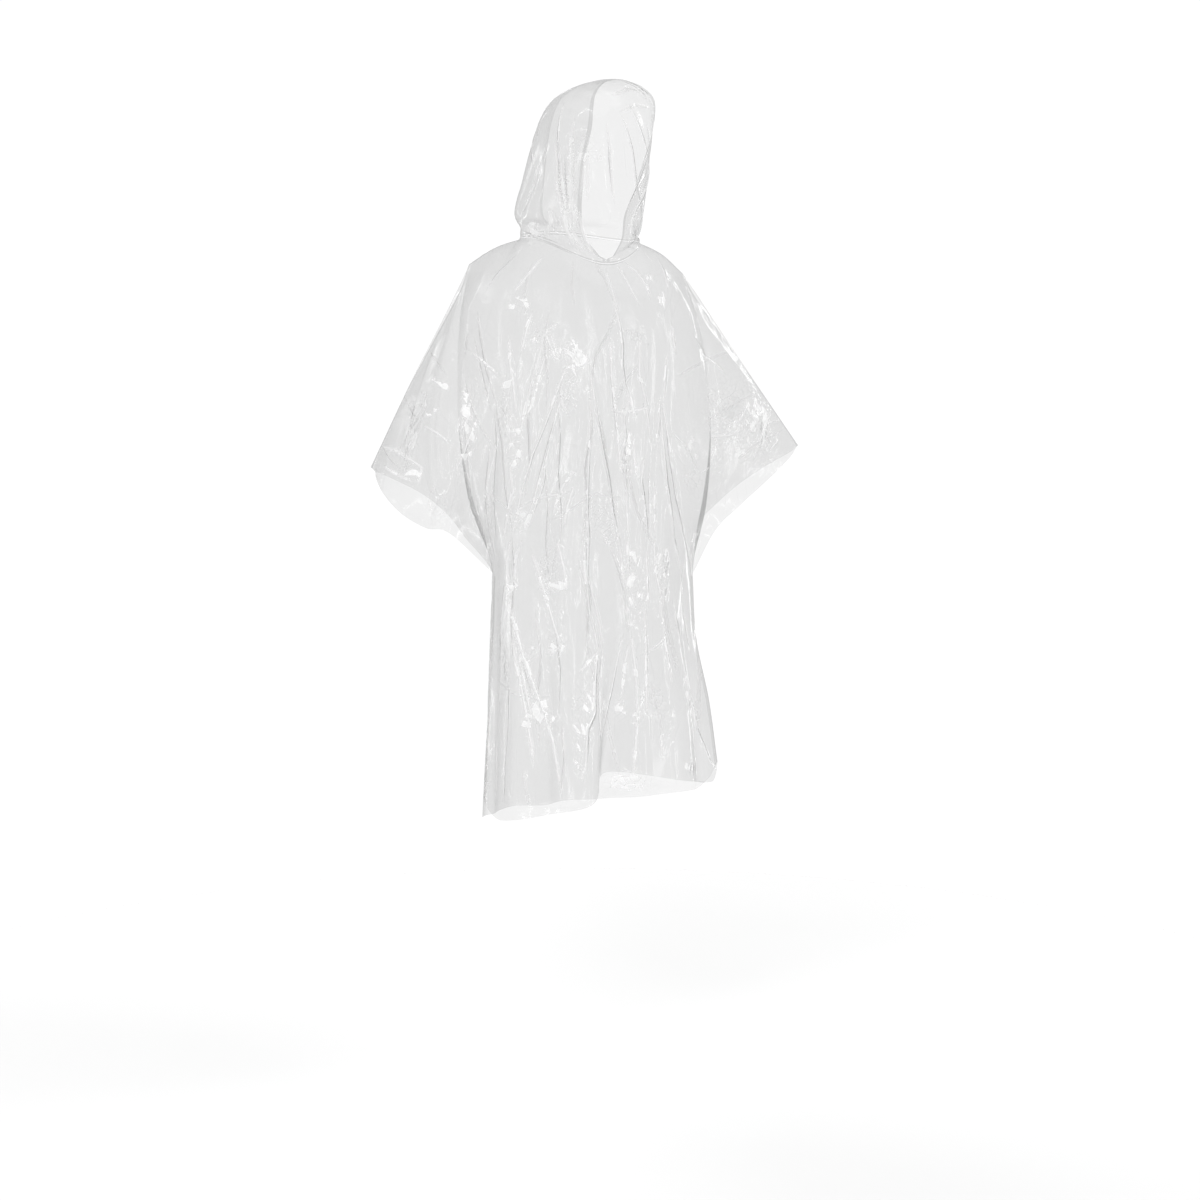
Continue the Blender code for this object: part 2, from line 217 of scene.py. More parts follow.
# The largest folds, as straight soft ridges (rise above 0) and troughs (below 0) in a panel.
# Each runs from its upper end to its lower end, where it has its full rise.
Fold = namedtuple("Fold", "across_top top across_foot foot width rise_top rise_foot")
FRONT_FOLDS = table(
    Fold,
    (-0.014, -0.66, -0.024, -1.02, 0.034, 0, -0.062),
    (-0.100, -0.55, -0.105, -1.06, 0.045, 0, 0.012),
    (0.110, -0.60, 0.120, -1.06, 0.045, 0, 0.012),
    (0.060, -0.10, 0.020, -0.62, 0.020, 0.002, 0.009),
    (0.020, -0.12, -0.030, -0.55, 0.020, -0.002, -0.008),
    (0.100, -0.22, 0.085, -0.74, 0.022, 0.002, 0.009),
    (-0.120, -0.19, -0.200, -0.62, 0.024, -0.003, -0.010),
    (-0.100, -0.20, -0.130, -0.70, 0.020, 0.003, 0.008),
    (-0.190, -0.55, -0.150, -1.00, 0.024, 0.003, 0.010),
    (0.170, -0.58, 0.205, -1.00, 0.024, -0.003, -0.012),
)
BACK_FOLDS = table(
    Fold,
    (-0.050, -0.12, -0.070, -1.08, 0.034, 0.002, 0.014),
    (0.070, -0.15, 0.060, -1.08, 0.034, 0.002, 0.013),
    (0.010, -0.20, -0.005, -1.08, 0.026, -0.002, -0.014),
    (-0.140, -0.20, -0.165, -1.06, 0.026, -0.002, -0.013),
    (0.150, -0.22, 0.175, -1.06, 0.028, -0.002, -0.013),
    (0.205, -0.30, 0.215, -0.90, 0.020, 0.002, 0.008),
)
# Part of a fold's length over which it comes up, and the power by which folds die at the seams.
FOLD_START = 0.25
FOLD_SEAM_FADE = 6
# Folds that reach below this level run out over the hem. The others die away at their foot.
HEM_LEVEL = -0.95

# The hood from its top to the neckline. forward_front and height_front give the edge of the face
# opening, and the back columns give the seam over the crown and down the back. The half widths
# are those at the places that HOOD_PLACES names, as parts of the way from that edge to the seam.
HOOD_PLACES = (0, 0.16, 0.45, 0.75, 1)
HoodRow = namedtuple(
    "HoodRow", "forward_front height_front forward_back height_back edge cheek side rear"
)
HOOD = table(
    HoodRow,
    (0.123, 0.308, -0.062, 0.288, 0, 0, 0, 0),
    (0.125, 0.305, -0.071, 0.280, 0.020, 0.024, 0.026, 0.021),
    (0.130, 0.296, -0.083, 0.266, 0.045, 0.050, 0.053, 0.042),
    (0.136, 0.270, -0.098, 0.238, 0.068, 0.076, 0.078, 0.060),
    (0.129, 0.220, -0.108, 0.198, 0.069, 0.094, 0.096, 0.072),
    (0.108, 0.170, -0.116, 0.158, 0.066, 0.106, 0.104, 0.078),
    (0.087, 0.115, -0.122, 0.120, 0.058, 0.114, 0.111, 0.083),
    (0.071, 0.070, -0.125, 0.092, 0.049, 0.118, 0.118, 0.089),
    (0.073, 0.025, -0.119, 0.070, 0.040, 0.106, 0.126, 0.094),
    (0.080, -0.008, -0.096, 0.056, 0.015, 0.070, 0.127, 0.087),
)
CROWN_RISE = 0.012
# The hood's last strip stands upright on the neckline weld.
HOOD_FOOT = 0.007
NECK_SIDE_RISE = NECK_SIDE_Z - (NECK_FRONT_Z + NECK_BACK_Z) / 2


def follow(stations, values, places):
    """A smooth curve through the values at rising stations, read at an array of places."""
    stations = np.asarray(stations, float)
    values = np.asarray(values, float)
    last = len(stations) - 1
    before = np.maximum(np.arange(last + 1) - 1, 0)
    after = np.minimum(np.arange(last + 1) + 1, last)
    slopes = (values[after] - values[before]) / (stations[after] - stations[before])
    places = np.clip(places, stations[0], stations[-1])
    index = np.clip(np.searchsorted(stations, places, side="right") - 1, 0, last - 1)
    span = stations[index + 1] - stations[index]
    part = (places - stations[index]) / span
    rest = 1 - part
    start = values[index] * (1 + 2 * part) + slopes[index] * span * part
    end = values[index + 1] * (1 + 2 * rest) - slopes[index + 1] * span * rest
    return start * rest**2 + end * part**2


def column(rows, name):
    """One named column of a table."""
    return [getattr(row, name) for row in rows]


def along(rows, part):
    """The points at part (0 to 1) of a seam, its rows taken as evenly spaced."""
    stations = np.linspace(0, 1, len(rows))
    return SeamPoint(*(follow(stations, column(rows, name), part) for name in SeamPoint._fields))


def by_height(levels, name, height):
    """A level table's column, read at heights."""
    rising = levels[::-1]
    return follow(column(rising, "height"), column(rising, name), height)


def between(low, high, part):
    """The value that lies part of the way (0 to 1) from low to high."""
    return low + (high - low) * part


def ease(low, high, value):
    """0 below low and 1 above high, with a smooth rise between."""
    part = np.clip((value - low) / (high - low), 0, 1)
    return part * part * (3 - 2 * part)


def turned_down(distance):
    """How far the film has turned over the shoulder, 0 to 1, at a distance below its seam."""
    left = 1 - np.clip(distance / SHOULDER_ROUND, 0, 1)
    return np.sqrt(1 - left**2)


def neckline(part):
    """Half width, forward reach and height of the neckline, from its front (0) to its back (1)."""
    turn = pi * part
    in_front = part < 0.5
    reach = np.where(in_front, NECK_FORWARD, NECK_BACK)
    middle_z = np.where(in_front, NECK_FRONT_Z, NECK_BACK_Z)
    dip = (1 - np.sqrt(1 - (NECK_DIP * np.cos(turn)) ** 2)) / (1 - sqrt(1 - NECK_DIP**2))
    height = between(NECK_SIDE_Z, middle_z, dip)
    return NECK_HALF_WIDTH * np.sin(turn), reach * np.cos(turn), height


def fold_rise(folds, across, height):
    """What the largest folds add to a panel."""
    total = np.zeros_like(across)
    for fold in folds:
        part = (fold.top - height) / (fold.top - fold.foot)
        inside = (part > 0) & (part < 1)
        middle = between(fold.across_top, fold.across_foot, part)
        fade = np.sin(np.clip(part / FOLD_START, 0, 1) * pi / 2)
        if fold.foot > HEM_LEVEL:
            fade *= np.sin(np.clip((1 - part) / FOLD_START, 0, 1) * pi / 2) ** 2
        shape = np.exp(-(((across - middle) / fold.width) ** 2))
        total += np.where(inside, between(fold.rise_top, fold.rise_foot, part) * fade * shape, 0)
    return total


# Fine strips of the sheets: across the body, along one sleeve, from the shoulder to the underarm,
# and from there to the hem. The hood's run from the face to the back seam, and down.
BODY_STRIPS = 320
SLEEVE_STRIPS = 84
UPPER_STRIPS = 125
LOWER_STRIPS = 95
HOOD_STRIPS = 200
HOOD_ROWS = 180
FOOT_ROWS = 4
# Length of a panel from the shoulder line to the underarm, for spacing the strips evenly.
UPPER_LENGTH = 0.56


def upper_parts():
    """Places of the strips from the shoulder to the underarm, even along the film as it turns."""
    turn = SHOULDER_ROUND * pi / 2
    gone = np.linspace(0, 1, UPPER_STRIPS + 1) * (turn + UPPER_LENGTH - SHOULDER_ROUND)
    round_part = SHOULDER_ROUND * (1 - np.cos(np.minimum(gone, turn) / SHOULDER_ROUND))
    down = np.where(gone < turn, round_part, gone - turn + SHOULDER_ROUND)
    return down / UPPER_LENGTH


class Panel(namedtuple("Panel", "facing levels hem folds lip")):
    """The front or the back panel, with its half of both sleeves, as a grid of fine strips."""

    def placed(self, across, seam_forward, stand_off, height):
        """Points that stand off the seams' plane, on this panel's side of it."""
        depth = -seam_forward + self.facing * (stand_off + SEAM_GAP / 2)
        return np.stack(np.broadcast_arrays(across, depth, height), axis=-1)

    def armhole(self, part):
        """Stand-off where the sleeve begins, from the shoulder (0) to the underarm (1)."""
        height = between(SHOULDER_SEAM[RIGHT][-1].height, SIDE_SEAM[RIGHT][0].height, part)
        nearing = np.sin(np.clip((1 - part) / UNDERARM_NIP, 0, 1) * pi / 2)
        return by_height(self.levels, "armhole", height) * nearing

    def top_edge(self, side, across):
        """The top edge of one side: the neckline, then the shoulder seam, and its stand-off."""
        ring = np.minimum(across / NECK_SHARE / 2, 0.5)
        wide, forward, height = neckline(ring if self.lip == "front" else 1 - ring)
        seam = along(SHOULDER_SEAM[side], np.clip((across - NECK_SHARE) / (1 - NECK_SHARE), 0, 1))
        on_ring = across < NECK_SHARE
        return (
            np.where(on_ring, wide, seam.across),
            np.where(on_ring, np.abs(forward), 0),
            np.where(on_ring, height, seam.height),
        )

    def body(self, side, across, upper, lower):
        """Half of the body: across is 0 at the middle and 1 at the side seam."""
        edge_wide, edge_off, top = self.top_edge(side, across)
        signed = side * across
        underarm_level = between(
            SIDE_SEAM[RIGHT][0].height, SIDE_SEAM[LEFT][0].height, (signed + 1) / 2
        )
        shoulder = SHOULDER_SEAM[side][-1]
        underarm = SIDE_SEAM[side][0]
        seam = along(SIDE_SEAM[side], lower)
        hem_height = follow(column(self.hem, "across"), column(self.hem, "height"), signed)
        above = upper < 1
        height = np.where(
            above, between(top, underarm_level, upper), between(underarm_level, hem_height, lower)
        )
        half = np.where(above, between(shoulder.across, underarm.across, upper), seam.across)
        seam_forward = np.where(
            above, between(shoulder.forward, underarm.forward, upper), seam.forward
        )
        at_side = np.where(above, self.armhole(upper), 0)
        middle = by_height(self.levels, "centre", height)
        fullness = by_height(self.levels, "fullness", height)
        hang = at_side + (middle - at_side) * (1 - across**fullness)
        turn = turned_down(top - height)
        wide = side * between(edge_wide, across * half, turn)
        hang = hang + fold_rise(self.folds, wide, height) * (1 - across**FOLD_SEAM_FADE)
        return self.placed(wide, seam_forward, between(edge_off, hang, turn), height)

    def sleeve(self, side, outward, part):
        """A sleeve's half: outward is 0 at the armhole and 1 at the sleeve's point."""
        ridge = along(OVERARM_SEAM[side], outward)
        tip = OVERARM_SEAM[side][-1]
        underarm = SIDE_SEAM[side][0]
        lean = TIP_END / hypot(tip.across - underarm.across, tip.height - underarm.height)
        cuff_part = between(0, 1 - lean, outward)
        lips = column(CUFF[side], "along")
        lift = follow(lips, column(CUFF[side], self.lip + "_lift"), outward)
        cuff = SeamPoint(
            between(underarm.across, tip.across, cuff_part),
            between(underarm.forward, tip.forward, cuff_part),
            between(underarm.height, tip.height, cuff_part) + lift,
        )
        place = SeamPoint(*(between(top, foot, part) for top, foot in zip(ridge, cuff)))
        lip_off = follow(lips, column(CUFF[side], self.lip), outward)
        hang = self.armhole(part) * (1 - outward) ** ARM_FADE * (1 - part**ARM_CLOSE)
        turn = turned_down(ridge.height - place.height)
        hang = hang * between(turn, 1, ease(0, SLEEVE_TOP, outward))
        hang = hang + lip_off * part**CUFF_FLARE
        hang = hang + SLEEVE_BULGE * np.sin(pi * part) * np.sin(pi * outward)
        return self.placed(side * place.across, place.forward, hang, place.height)

    def points(self):
        """The whole panel's grid of points, from the right sleeve's point to the left one's."""
        columns = np.arange(BODY_STRIPS + 2 * SLEEVE_STRIPS + 1)[:, None]
        upper = np.append(upper_parts(), np.ones(LOWER_STRIPS))[None, :]
        below = np.arange(1, LOWER_STRIPS + 1) / LOWER_STRIPS
        lower = np.append(np.zeros(UPPER_STRIPS + 1), below)[None, :]
        centre = SLEEVE_STRIPS + BODY_STRIPS / 2
        points = None
        for side in (RIGHT, LEFT):
            from_middle = side * (columns - centre)
            outward = np.clip((from_middle - BODY_STRIPS / 2) / SLEEVE_STRIPS, 0, 1)
            across = np.clip(from_middle / (BODY_STRIPS / 2), 0, 1)
            half = np.where(
                (outward > 0)[..., None],
                self.sleeve(side, outward, upper),
                self.body(side, across, upper, lower),
            )
            points = half if points is None else np.where((from_middle >= 0)[..., None], half, points)
        return points


TINY = 1e-12


def normals_of(points, outside):
    """Unit normals of a grid of points, turned to its outside."""
    turned = np.cross(np.gradient(points, axis=0), np.gradient(points, axis=1))
    length = np.linalg.norm(turned, axis=-1, keepdims=True)
    return turned / np.maximum(length, TINY) * outside


# ---- Creases ----

MILLIMETRES = 1000  # in a metre

Crease = namedtuple("Crease", "width rise sharp route")
SHARP, SOFT = True, False


def crease_rows(sharp, *rows):
    """Creases from rows of width, rise and then the points of the route, all in millimetres.

    The points are across from the middle of the body, and up as the film lies from its shoulder
    line, so a point 300 mm down the film is -300. On the hood they are back and up from the origin.
    The width is how far out a crease falls to about a third of its rise, which is above 0 for a
    ridge and below 0 for a trough. Sharp ones come to a line.
    """
    return [
        Crease(width / MILLIMETRES, rise / MILLIMETRES, sharp, np.array(route) / MILLIMETRES)
        for width, rise, *route in rows
    ]


FRONT_CREASES = crease_rows(
    SHARP,
    (6, 3, (-221, -179), (-225, -225), (-222, -268), (-219, -324)),
    (9, 4, (-177, -149), (-192, -177), (-206, -215)),
    (5, 2, (-135, -178), (-160, -190), (-170, -206)),
    (8, 4.5, (-168, -207), (-187, -259), (-203, -313), (-213, -352)),
    (6, -3, (-162, -225), (-180, -271), (-192, -310), (-206, -339)),
    (5, 2.5, (-161, -191), (-152, -223), (-144, -245)),
    (5, -2, (-153, -191), (-144, -226), (-137, -246)),
    (9, 5.5, (-128, -259), (-145, -300), (-167, -350), (-191, -398), (-209, -461), (-215, -532)),
    (8, -5, (-136, -285), (-139, -322), (-154, -370), (-162, -395), (-174, -438), (-183, -479),
     (-194, -522)),
    (7, 4.5, (-158, -384), (-165, -418), (-168, -460), (-183, -506), (-193, -534)),
    (5, 2, (-146, -288), (-133, -327), (-124, -346)),
    (6, 2.5, (-111, -439), (-135, -471), (-144, -499), (-151, -526)),
    (6, -3, (-114, -468), (-126, -506), (-132, -544)),
    (10, 5.5, (-79, -233), (-71, -277), (-61, -328), (-51, -374), (-36, -428), (-26, -471), (-16, -526),
     (-8, -597), (-4, -626)),
    (9, 5, (-79, -318), (-81, -376), (-84, -434), (-85, -489), (-81, -547), (-84, -610), (-70, -659),
     (-60, -697), (-51, -739)),
    (8, 4, (-5, -95), (0, -139), (1, -179), (-3, -211), (4, -252), (17, -281), (23, -316)),
    (8, 5.5, (13, -274), (2, -312), (5, -346), (1, -368), (3, -402), (5, -459), (5, -527)),
    (7, 3.5, (41, -167), (34, -233), (44, -280), (52, -328), (60, -367)),
    (8, 5, (41, -389), (33, -431), (39, -465), (47, -508), (50, -543)),
    (5, -2.5, (20, -342), (21, -375), (24, -421)),
    (5, -3, (54, -412), (58, -501), (58, -545)),
    (5, 3, (68, -446), (71, -550)),
    (7, -3.5, (-27, -169), (-29, -237), (-22, -292), (-12, -346), (-5, -409)),
    (6, 3, (101, -226), (95, -278), (91, -303)),
    (6, 3.5, (81, -294), (79, -337), (71, -379)),
    (12, -6, (87, -299), (98, -357), (110, -429), (132, -503), (166, -568), (213, -619), (229, -657)),
    (10, 5, (84, -312), (87, -371), (97, -463), (125, -577), (165, -645), (178, -711)),
    (6, 2.5, (126, -176), (125, -209), (127, -237)),
    (6, 3, (113, -380), (150, -401), (194, -445)),
    (5, 2, (194, -445), (212, -435), (237, -418)),
    (8, 4, (-231, -407), (-223, -455), (-227, -496), (-227, -543)),
    (8, 4, (-197, -555), (-202, -588), (-205, -625), (-214, -641)),
    (6, -3, (-216, -548), (-215, -600), (-216, -641)),
    (9, 5, (-218, -654), (-207, -713), (-199, -768), (-190, -807), (-179, -853), (-167, -902),
     (-161, -929), (-152, -1020)),
    (7, -3.5, (-214, -730), (-204, -814), (-198, -869), (-190, -973)),
    (6, 2.5, (-203, -774), (-197, -837), (-190, -888)),
    (7, 3, (-179, -577), (-167, -628), (-158, -671), (-146, -722), (-133, -772)),
    (6, 2.8, (-141, -566), (-130, -617), (-126, -663)),
    (8, 5, (-92, -560), (-86, -617), (-81, -680), (-68, -726), (-63, -754)),
    (10, 7, (-63, -737), (-70, -785), (-75, -832), (-76, -859), (-94, -897), (-100, -960),
     (-110, -994)),
    (9, -6, (-51, -736), (-56, -789), (-59, -835), (-52, -908)),
    (6, -2.5, (-103, -800), (-88, -775), (-65, -746)),
    (7, 3.5, (3, -534), (4, -564), (5, -599)),
    (5, 2.5, (48, -555), (52, -609), (53, -674)),
    (6, 3, (69, -552), (70, -594)),
    (6, 3, (43, -665), (47, -742), (46, -795), (43, -867)),
    (8, 4.5, (13, -706), (23, -781), (25, -827), (25, -874), (21, -934), (18, -967)),
    (7, 3.8, (-5, -709), (-13, -768), (-21, -821), (-32, -866), (-52, -915)),
    (6, -3, (9, -724), (3, -769), (1, -822)),
    (7, 3, (77, -665), (88, -714), (99, -762), (115, -848)),
    (10, 6, (126, -696), (146, -756), (156, -816), (172, -867), (192, -897), (202, -939), (244, -1001),
     (273, -1019)),
    (8, -4, (136, -580), (165, -645), (178, -711), (200, -792)),
    (6, 3, (75, -574), (72, -619), (85, -672)),
    (5, 2, (-261, -894), (-261, -927), (-258, -950)),
    (6, 3, (48, -21), (68, -42), (83, -78), (84, -112)),
    (6, -2, (27, -21), (41, -61), (54, -111)),
    (6, 2, (-3, -30), (1, -72), (2, -116)),
    (6, 2, (-125, -43), (-160, -72), (-201, -107)),
    (6, 2, (153, -33), (148, -74), (136, -114)),
    (5, 2.2, (-463, -349), (-451, -359), (-437, -381), (-421, -401), (-436, -438)),
    (5, -2, (-473, -380), (-458, -403), (-439, -425)),
    (5, 2.2, (-400, -321), (-379, -339), (-358, -358)),
    (5, 2.5, (-286, -193), (-267, -217), (-242, -244)),
    (8, 3.5, (-296, -321), (-317, -355), (-343, -400)),
    (6, 2.5, (-314, -470), (-297, -499), (-278, -532)),
    (5, 2.2, (191, -184), (255, -215), (297, -239)),
    (4, 2, (357, -290), (313, -333)),
    (4, 2, (385, -344), (416, -324), (458, -315)),
    (5, 1.8, (232, -363), (283, -358), (325, -347)),
    (6, 2.5, (425, -301), (383, -356), (360, -404)),
    (5, 2.5, (437, -358), (409, -380)),
    (4, 1.6, (-40, -301), (58, -297)),
    (4, 1.4, (-205, -486), (-110, -482)),
    (4, 1.4, (30, -752), (140, -748)),
) + crease_rows(
    SOFT,
    (10, 3, (-239, -840), (-244, -921), (-245, -1004)),
    (12, 4, (-279, -140), (-289, -195), (-298, -243)),
    (10, 4, (-226, -123), (-240, -188), (-254, -237)),
    (14, 4, (-404, -328), (-422, -363), (-439, -419)),
    (12, -4, (-367, -336), (-379, -383), (-379, -429)),
    (16, 4, (-302, -132), (-334, -188), (-360, -236)),
    (14, 4, (247, -269), (259, -336), (263, -437)),
)
BACK_CREASES = crease_rows(
    SHARP,
    (7, 4, (-168, -150), (-150, -214), (-138, -262), (-112, -331)),
    (6, -3, (-176, -196), (-148, -285), (-131, -338)),
    (9, 5.5, (-112, -331), (-96, -392), (-88, -470), (-71, -538)),
    (8, -4.5, (-118, -352), (-121, -421), (-134, -488), (-139, -573)),
    (7, 4, (-134, -402), (-152, -468), (-161, -551), (-158, -612)),
    (6, 2.8, (-206, -262), (-183, -318), (-148, -381), (-126, -408)),
    (6, 3, (-214, -338), (-209, -402), (-216, -470)),
    (8, -4, (-196, -486), (-201, -560), (-192, -633), (-197, -702)),
    (7, 4, (158, -142), (146, -190), (121, -241), (108, -312)),
    (9, 5.5, (108, -312), (112, -376), (98, -447), (101, -516), (88, -590)),
    (8, -5, (121, -330), (134, -402), (139, -481), (151, -547)),
    (6, 2.8, (198, -236), (171, -290), (152, -352)),
    (7, 4, (183, -398), (176, -455), (184, -530), (196, -598)),
    (8, 3.5, (12, -118), (6, -171), (14, -236), (9, -288)),
    (9, 5, (-22, -246), (-31, -318), (-27, -402), (-38, -466)),
    (8, -4.5, (34, -288), (41, -352), (36, -428), (46, -512), (43, -566)),
    (7, 3.5, (4, -408), (12, -486), (6, -558), (14, -642)),
    (9, 5.5, (-71, -560), (-62, -631), (-72, -718), (-69, -796)),
    (9, 5, (-104, -655), (-118, -738), (-121, -824), (-137, -902)),
    (8, -4.5, (-90, -846), (-94, -921), (-106, -1002), (-104, -1070)),
    (8, 4.5, (-18, -692), (-10, -781), (-21, -866), (-16, -948)),
    (7, -3.5, (26, -724), (41, -806), (38, -893)),
    (7, 3.8, (48, -918), (56, -982), (49, -1060)),
    (9, 5.5, (82, -628), (96, -704), (93, -792), (112, -881)),
    (8, -4, (132, -604), (149, -690), (152, -768)),
    (7, 4, (118, -902), (131, -978), (146, -1052)),
    (8, 4.2, (196, -655), (203, -748), (219, -840)),
    (6, -3, (186, -866), (204, -938), (209, -1018)),
    (8, 4, (238, -760), (244, -861), (251, -958)),
    (9, 5, (-176, -744), (-189, -832), (-184, -918), (-199, -1004)),
    (8, 4, (-226, -655), (-231, -768), (-246, -872)),
    (6, 3, (-158, -948), (-149, -1020), (-157, -1086)),
    (6, 3.5, (-46, -1002), (-36, -1058), (-40, -1120)),
    (6, 2, (-94, -24), (-118, -72), (-152, -118)),
    (6, 2, (88, -22), (109, -66), (149, -128)),
    (6, 2, (-40, -22), (-46, -78), (-41, -131)),
    (6, -2, (52, -20), (60, -70), (71, -116)),
    (5, 1.6, (-176, -512), (-60, -508)),
    (5, 1.4, (20, -511), (162, -506)),
    (5, 1.4, (-150, -856), (10, -852)),
    (5, 2.2, (-462, -345), (-375, -402)),
    (5, 2.2, (-405, -262), (-330, -315)),
    (5, -2.2, (-345, -178), (-262, -232)),
    (5, 2.2, (468, -335), (385, -395)),
    (5, -2.2, (412, -262), (330, -322)),
    (5, 2.2, (352, -180), (270, -235)),
) + crease_rows(
    SOFT,
    (16, 4, (-300, -120), (-345, -280), (-372, -440)),
    (14, -4, (-262, -160), (-285, -330), (-290, -520)),
    (16, 4, (305, -140), (345, -270), (372, -420)),
    (14, -4, (265, -180), (290, -340), (292, -520)),
)
HOOD_RIGHT_CREASES = crease_rows(
    SHARP,
    (7, 4.5, (-58, 262), (-67, 221), (-78, 184), (-76, 155), (-68, 116), (-57, 66), (-63, 5)),
    (6, -3, (-64, 206), (-73, 155), (-66, 116), (-56, 64)),
    (6, 3.5, (-102, 238), (-98, 199), (-90, 165), (-77, 116), (-64, 76), (-63, 34)),
    (6, -2.5, (-120, 208), (-106, 184), (-93, 155), (-81, 117)),
    (12, -6, (-41, 187), (-22, 153), (-16, 117), (10, 68)),
    (8, 3, (39, 219), (23, 186), (-8, 150)),
    (6, 2.5, (-48, 76), (-48, 51), (-40, 29)),
    (6, 3, (-68, 69), (-71, 34), (-75, -7)),
    (6, -2.5, (-62, 76), (-62, 41), (-71, -4)),
    (5, 2.5, (-121, 199), (-100, 150), (-82, 104)),
    (10, 3, (-7, 264), (7, 239), (6, 206)),
) + crease_rows(
    SOFT,
    (10, -3, (-75, 298), (-74, 276), (-74, 251)),
)
HOOD_LEFT_CREASES = crease_rows(
    SHARP,
    (7, 4, (-52, 268), (-60, 215), (-66, 150), (-58, 70), (-62, 10)),
    (6, -3, (-85, 235), (-80, 180), (-72, 110)),
    (8, 4, (-20, 255), (-24, 190), (-18, 120), (-22, 60)),
    (10, -4, (20, 240), (32, 170), (40, 100)),
    (7, 3, (60, 220), (70, 160), (82, 105)),
    (6, 3, (-105, 200), (-92, 140), (-76, 80), (-74, 20)),
    (6, 3, (-118, 286), (-80, 296), (-30, 290)),
    (6, -2.5, (-110, 262), (-70, 270), (-20, 262)),
    (5, 2.5, (-40, 70), (-46, 35), (-50, 5)),
    (6, 2.5, (10, 90), (4, 55), (-2, 30)),
)

Crush = namedtuple("Crush", "across up long wide lean depth")


def crush_rows(*rows):
    """Patches of crushed film from rows of their middle and their reach along and across their own
    line, all in millimetres, the line's lean from upright in degrees, and how deep the crush is."""
    return [Crush(*(size / MILLIMETRES for size in sizes), lean, depth) for *sizes, lean, depth in rows]


FRONT_CRUSHES = crush_rows(
    (-111, -226, 22, 14, 55, 1),
    (-119, -271, 26, 9, -12, 0.9),
    (-169, -198, 15, 14, 0, 0.6),
    (-231, -280, 26, 9, 10, 0.7),
    (-221, -379, 26, 9, 5, 0.7),
    (5, -375, 37, 9, 0, 0.8),
    (-208, -517, 15, 16, 0, 0.8),
    (-212, -639, 11, 9, 0, 0.9),
    (-142, -630, 52, 19, -5, 0.35),
    (-147, -752, 26, 19, 0, 0.45),
    (-172, -877, 34, 10, -25, 1),
    (-109, -914, 26, 9, -5, 0.7),
    (-110, -980, 15, 9, 0, 0.9),
    (-89, -863, 26, 9, 0, 0.6),
    (12, -574, 13, 14, 0, 0.9),
    (28, -638, 30, 16, -27, 0.8),
    (90, -614, 22, 14, 0, 1),
    (92, -659, 22, 12, -15, 0.8),
    (-3, -845, 17, 8, 0, 0.9),
    (26, -873, 15, 7, 0, 0.9),
    (172, -876, 26, 9, -20, 0.9),
    (103, -907, 30, 9, 5, 0.4),
    (163, -1015, 19, 12, 90, 0.9),
    (10, -968, 11, 7, 90, 0.6),
    (-262, -922, 22, 9, 0, 0.4),
    (-202, -884, 13, 9, 0, 0.6),
    (-193, -765, 11, 12, 0, 0.7),
    (-317, -335, 71, 14, 15, 0.7),
    (-355, -249, 15, 14, 0, 0.6),
    (-383, -288, 17, 14, 90, 0.6),
    (-438, -412, 7, 9, 0, 0.7),
    (388, -338, 46, 32, -8, 1),
    (263, -403, 30, 16, 0, 0.4),
    (166, -406, 26, 23, 0, 0.4),
    (206, -585, 15, 14, 0, 0.5),
    (-193, -131, 15, 12, 90, 0.7),
    (93, -70, 19, 9, -40, 0.5),
    (113, -127, 15, 9, 0, 0.6),
)
BACK_CRUSHES = crush_rows(
    (-90, -330, 30, 14, 10, 0.9),
    (60, -290, 24, 12, -20, 0.8),
    (-160, -520, 35, 10, 0, 0.8),
    (10, -610, 30, 16, 15, 0.9),
    (125, -560, 28, 12, -10, 1),
    (-110, -800, 34, 12, -20, 1),
    (85, -880, 26, 10, 10, 0.8),
    (190, -900, 30, 12, -15, 0.8),
    (-210, -1030, 22, 12, 80, 0.8),
    (-30, -1080, 20, 10, 90, 0.6),
    (160, -1070, 22, 10, 80, 0.9),
    (-350, -330, 50, 22, 20, 0.8),
    (-290, -470, 24, 18, 0, 0.6),
    (375, -320, 55, 30, -15, 0.9),
    (280, -440, 28, 16, 0, 0.5),
    (-200, -200, 20, 10, 30, 0.5),
    (195, -180, 18, 12, -40, 0.6),
    (0, -150, 14, 20, 0, 0.4),
)
HOOD_RIGHT_CRUSHES = crush_rows(
    (-18, 35, 13, 16, 0, 0.8),
    (-65, 79, 15, 7, 0, 0.5),
    (-120, 296, 15, 14, 0, 0.5),
)
HOOD_LEFT_CRUSHES = crush_rows(
    (-118, 290, 16, 14, 0, 0.8),
    (0, 40, 14, 16, 0, 0.7),
    (-60, 60, 18, 8, 0, 0.5),
    (60, 200, 20, 12, 20, 0.5),
)

# Creases die away at this many of their widths, and over this part of their length at each end,
# by a power of its sine. CREASE_DEPTH is the share of its rise that the hanging film keeps, and
# CREASE_SPREAD that of its width. A crease of FULL_RISE is bent fully.
CREASE_REACH = 4
CREASE_END = 0.02
CREASE_TAPER = 0.7
CREASE_DEPTH = 0.6
CREASE_SPREAD = 0.65
FULL_RISE = 0.004
# Film that has no sharp crease near it counts as this far off one.
FAR_OFF = 0.020
# A patch reaches this many times as far as its row says, more faintly.
CRUSH_REACH = 1.25


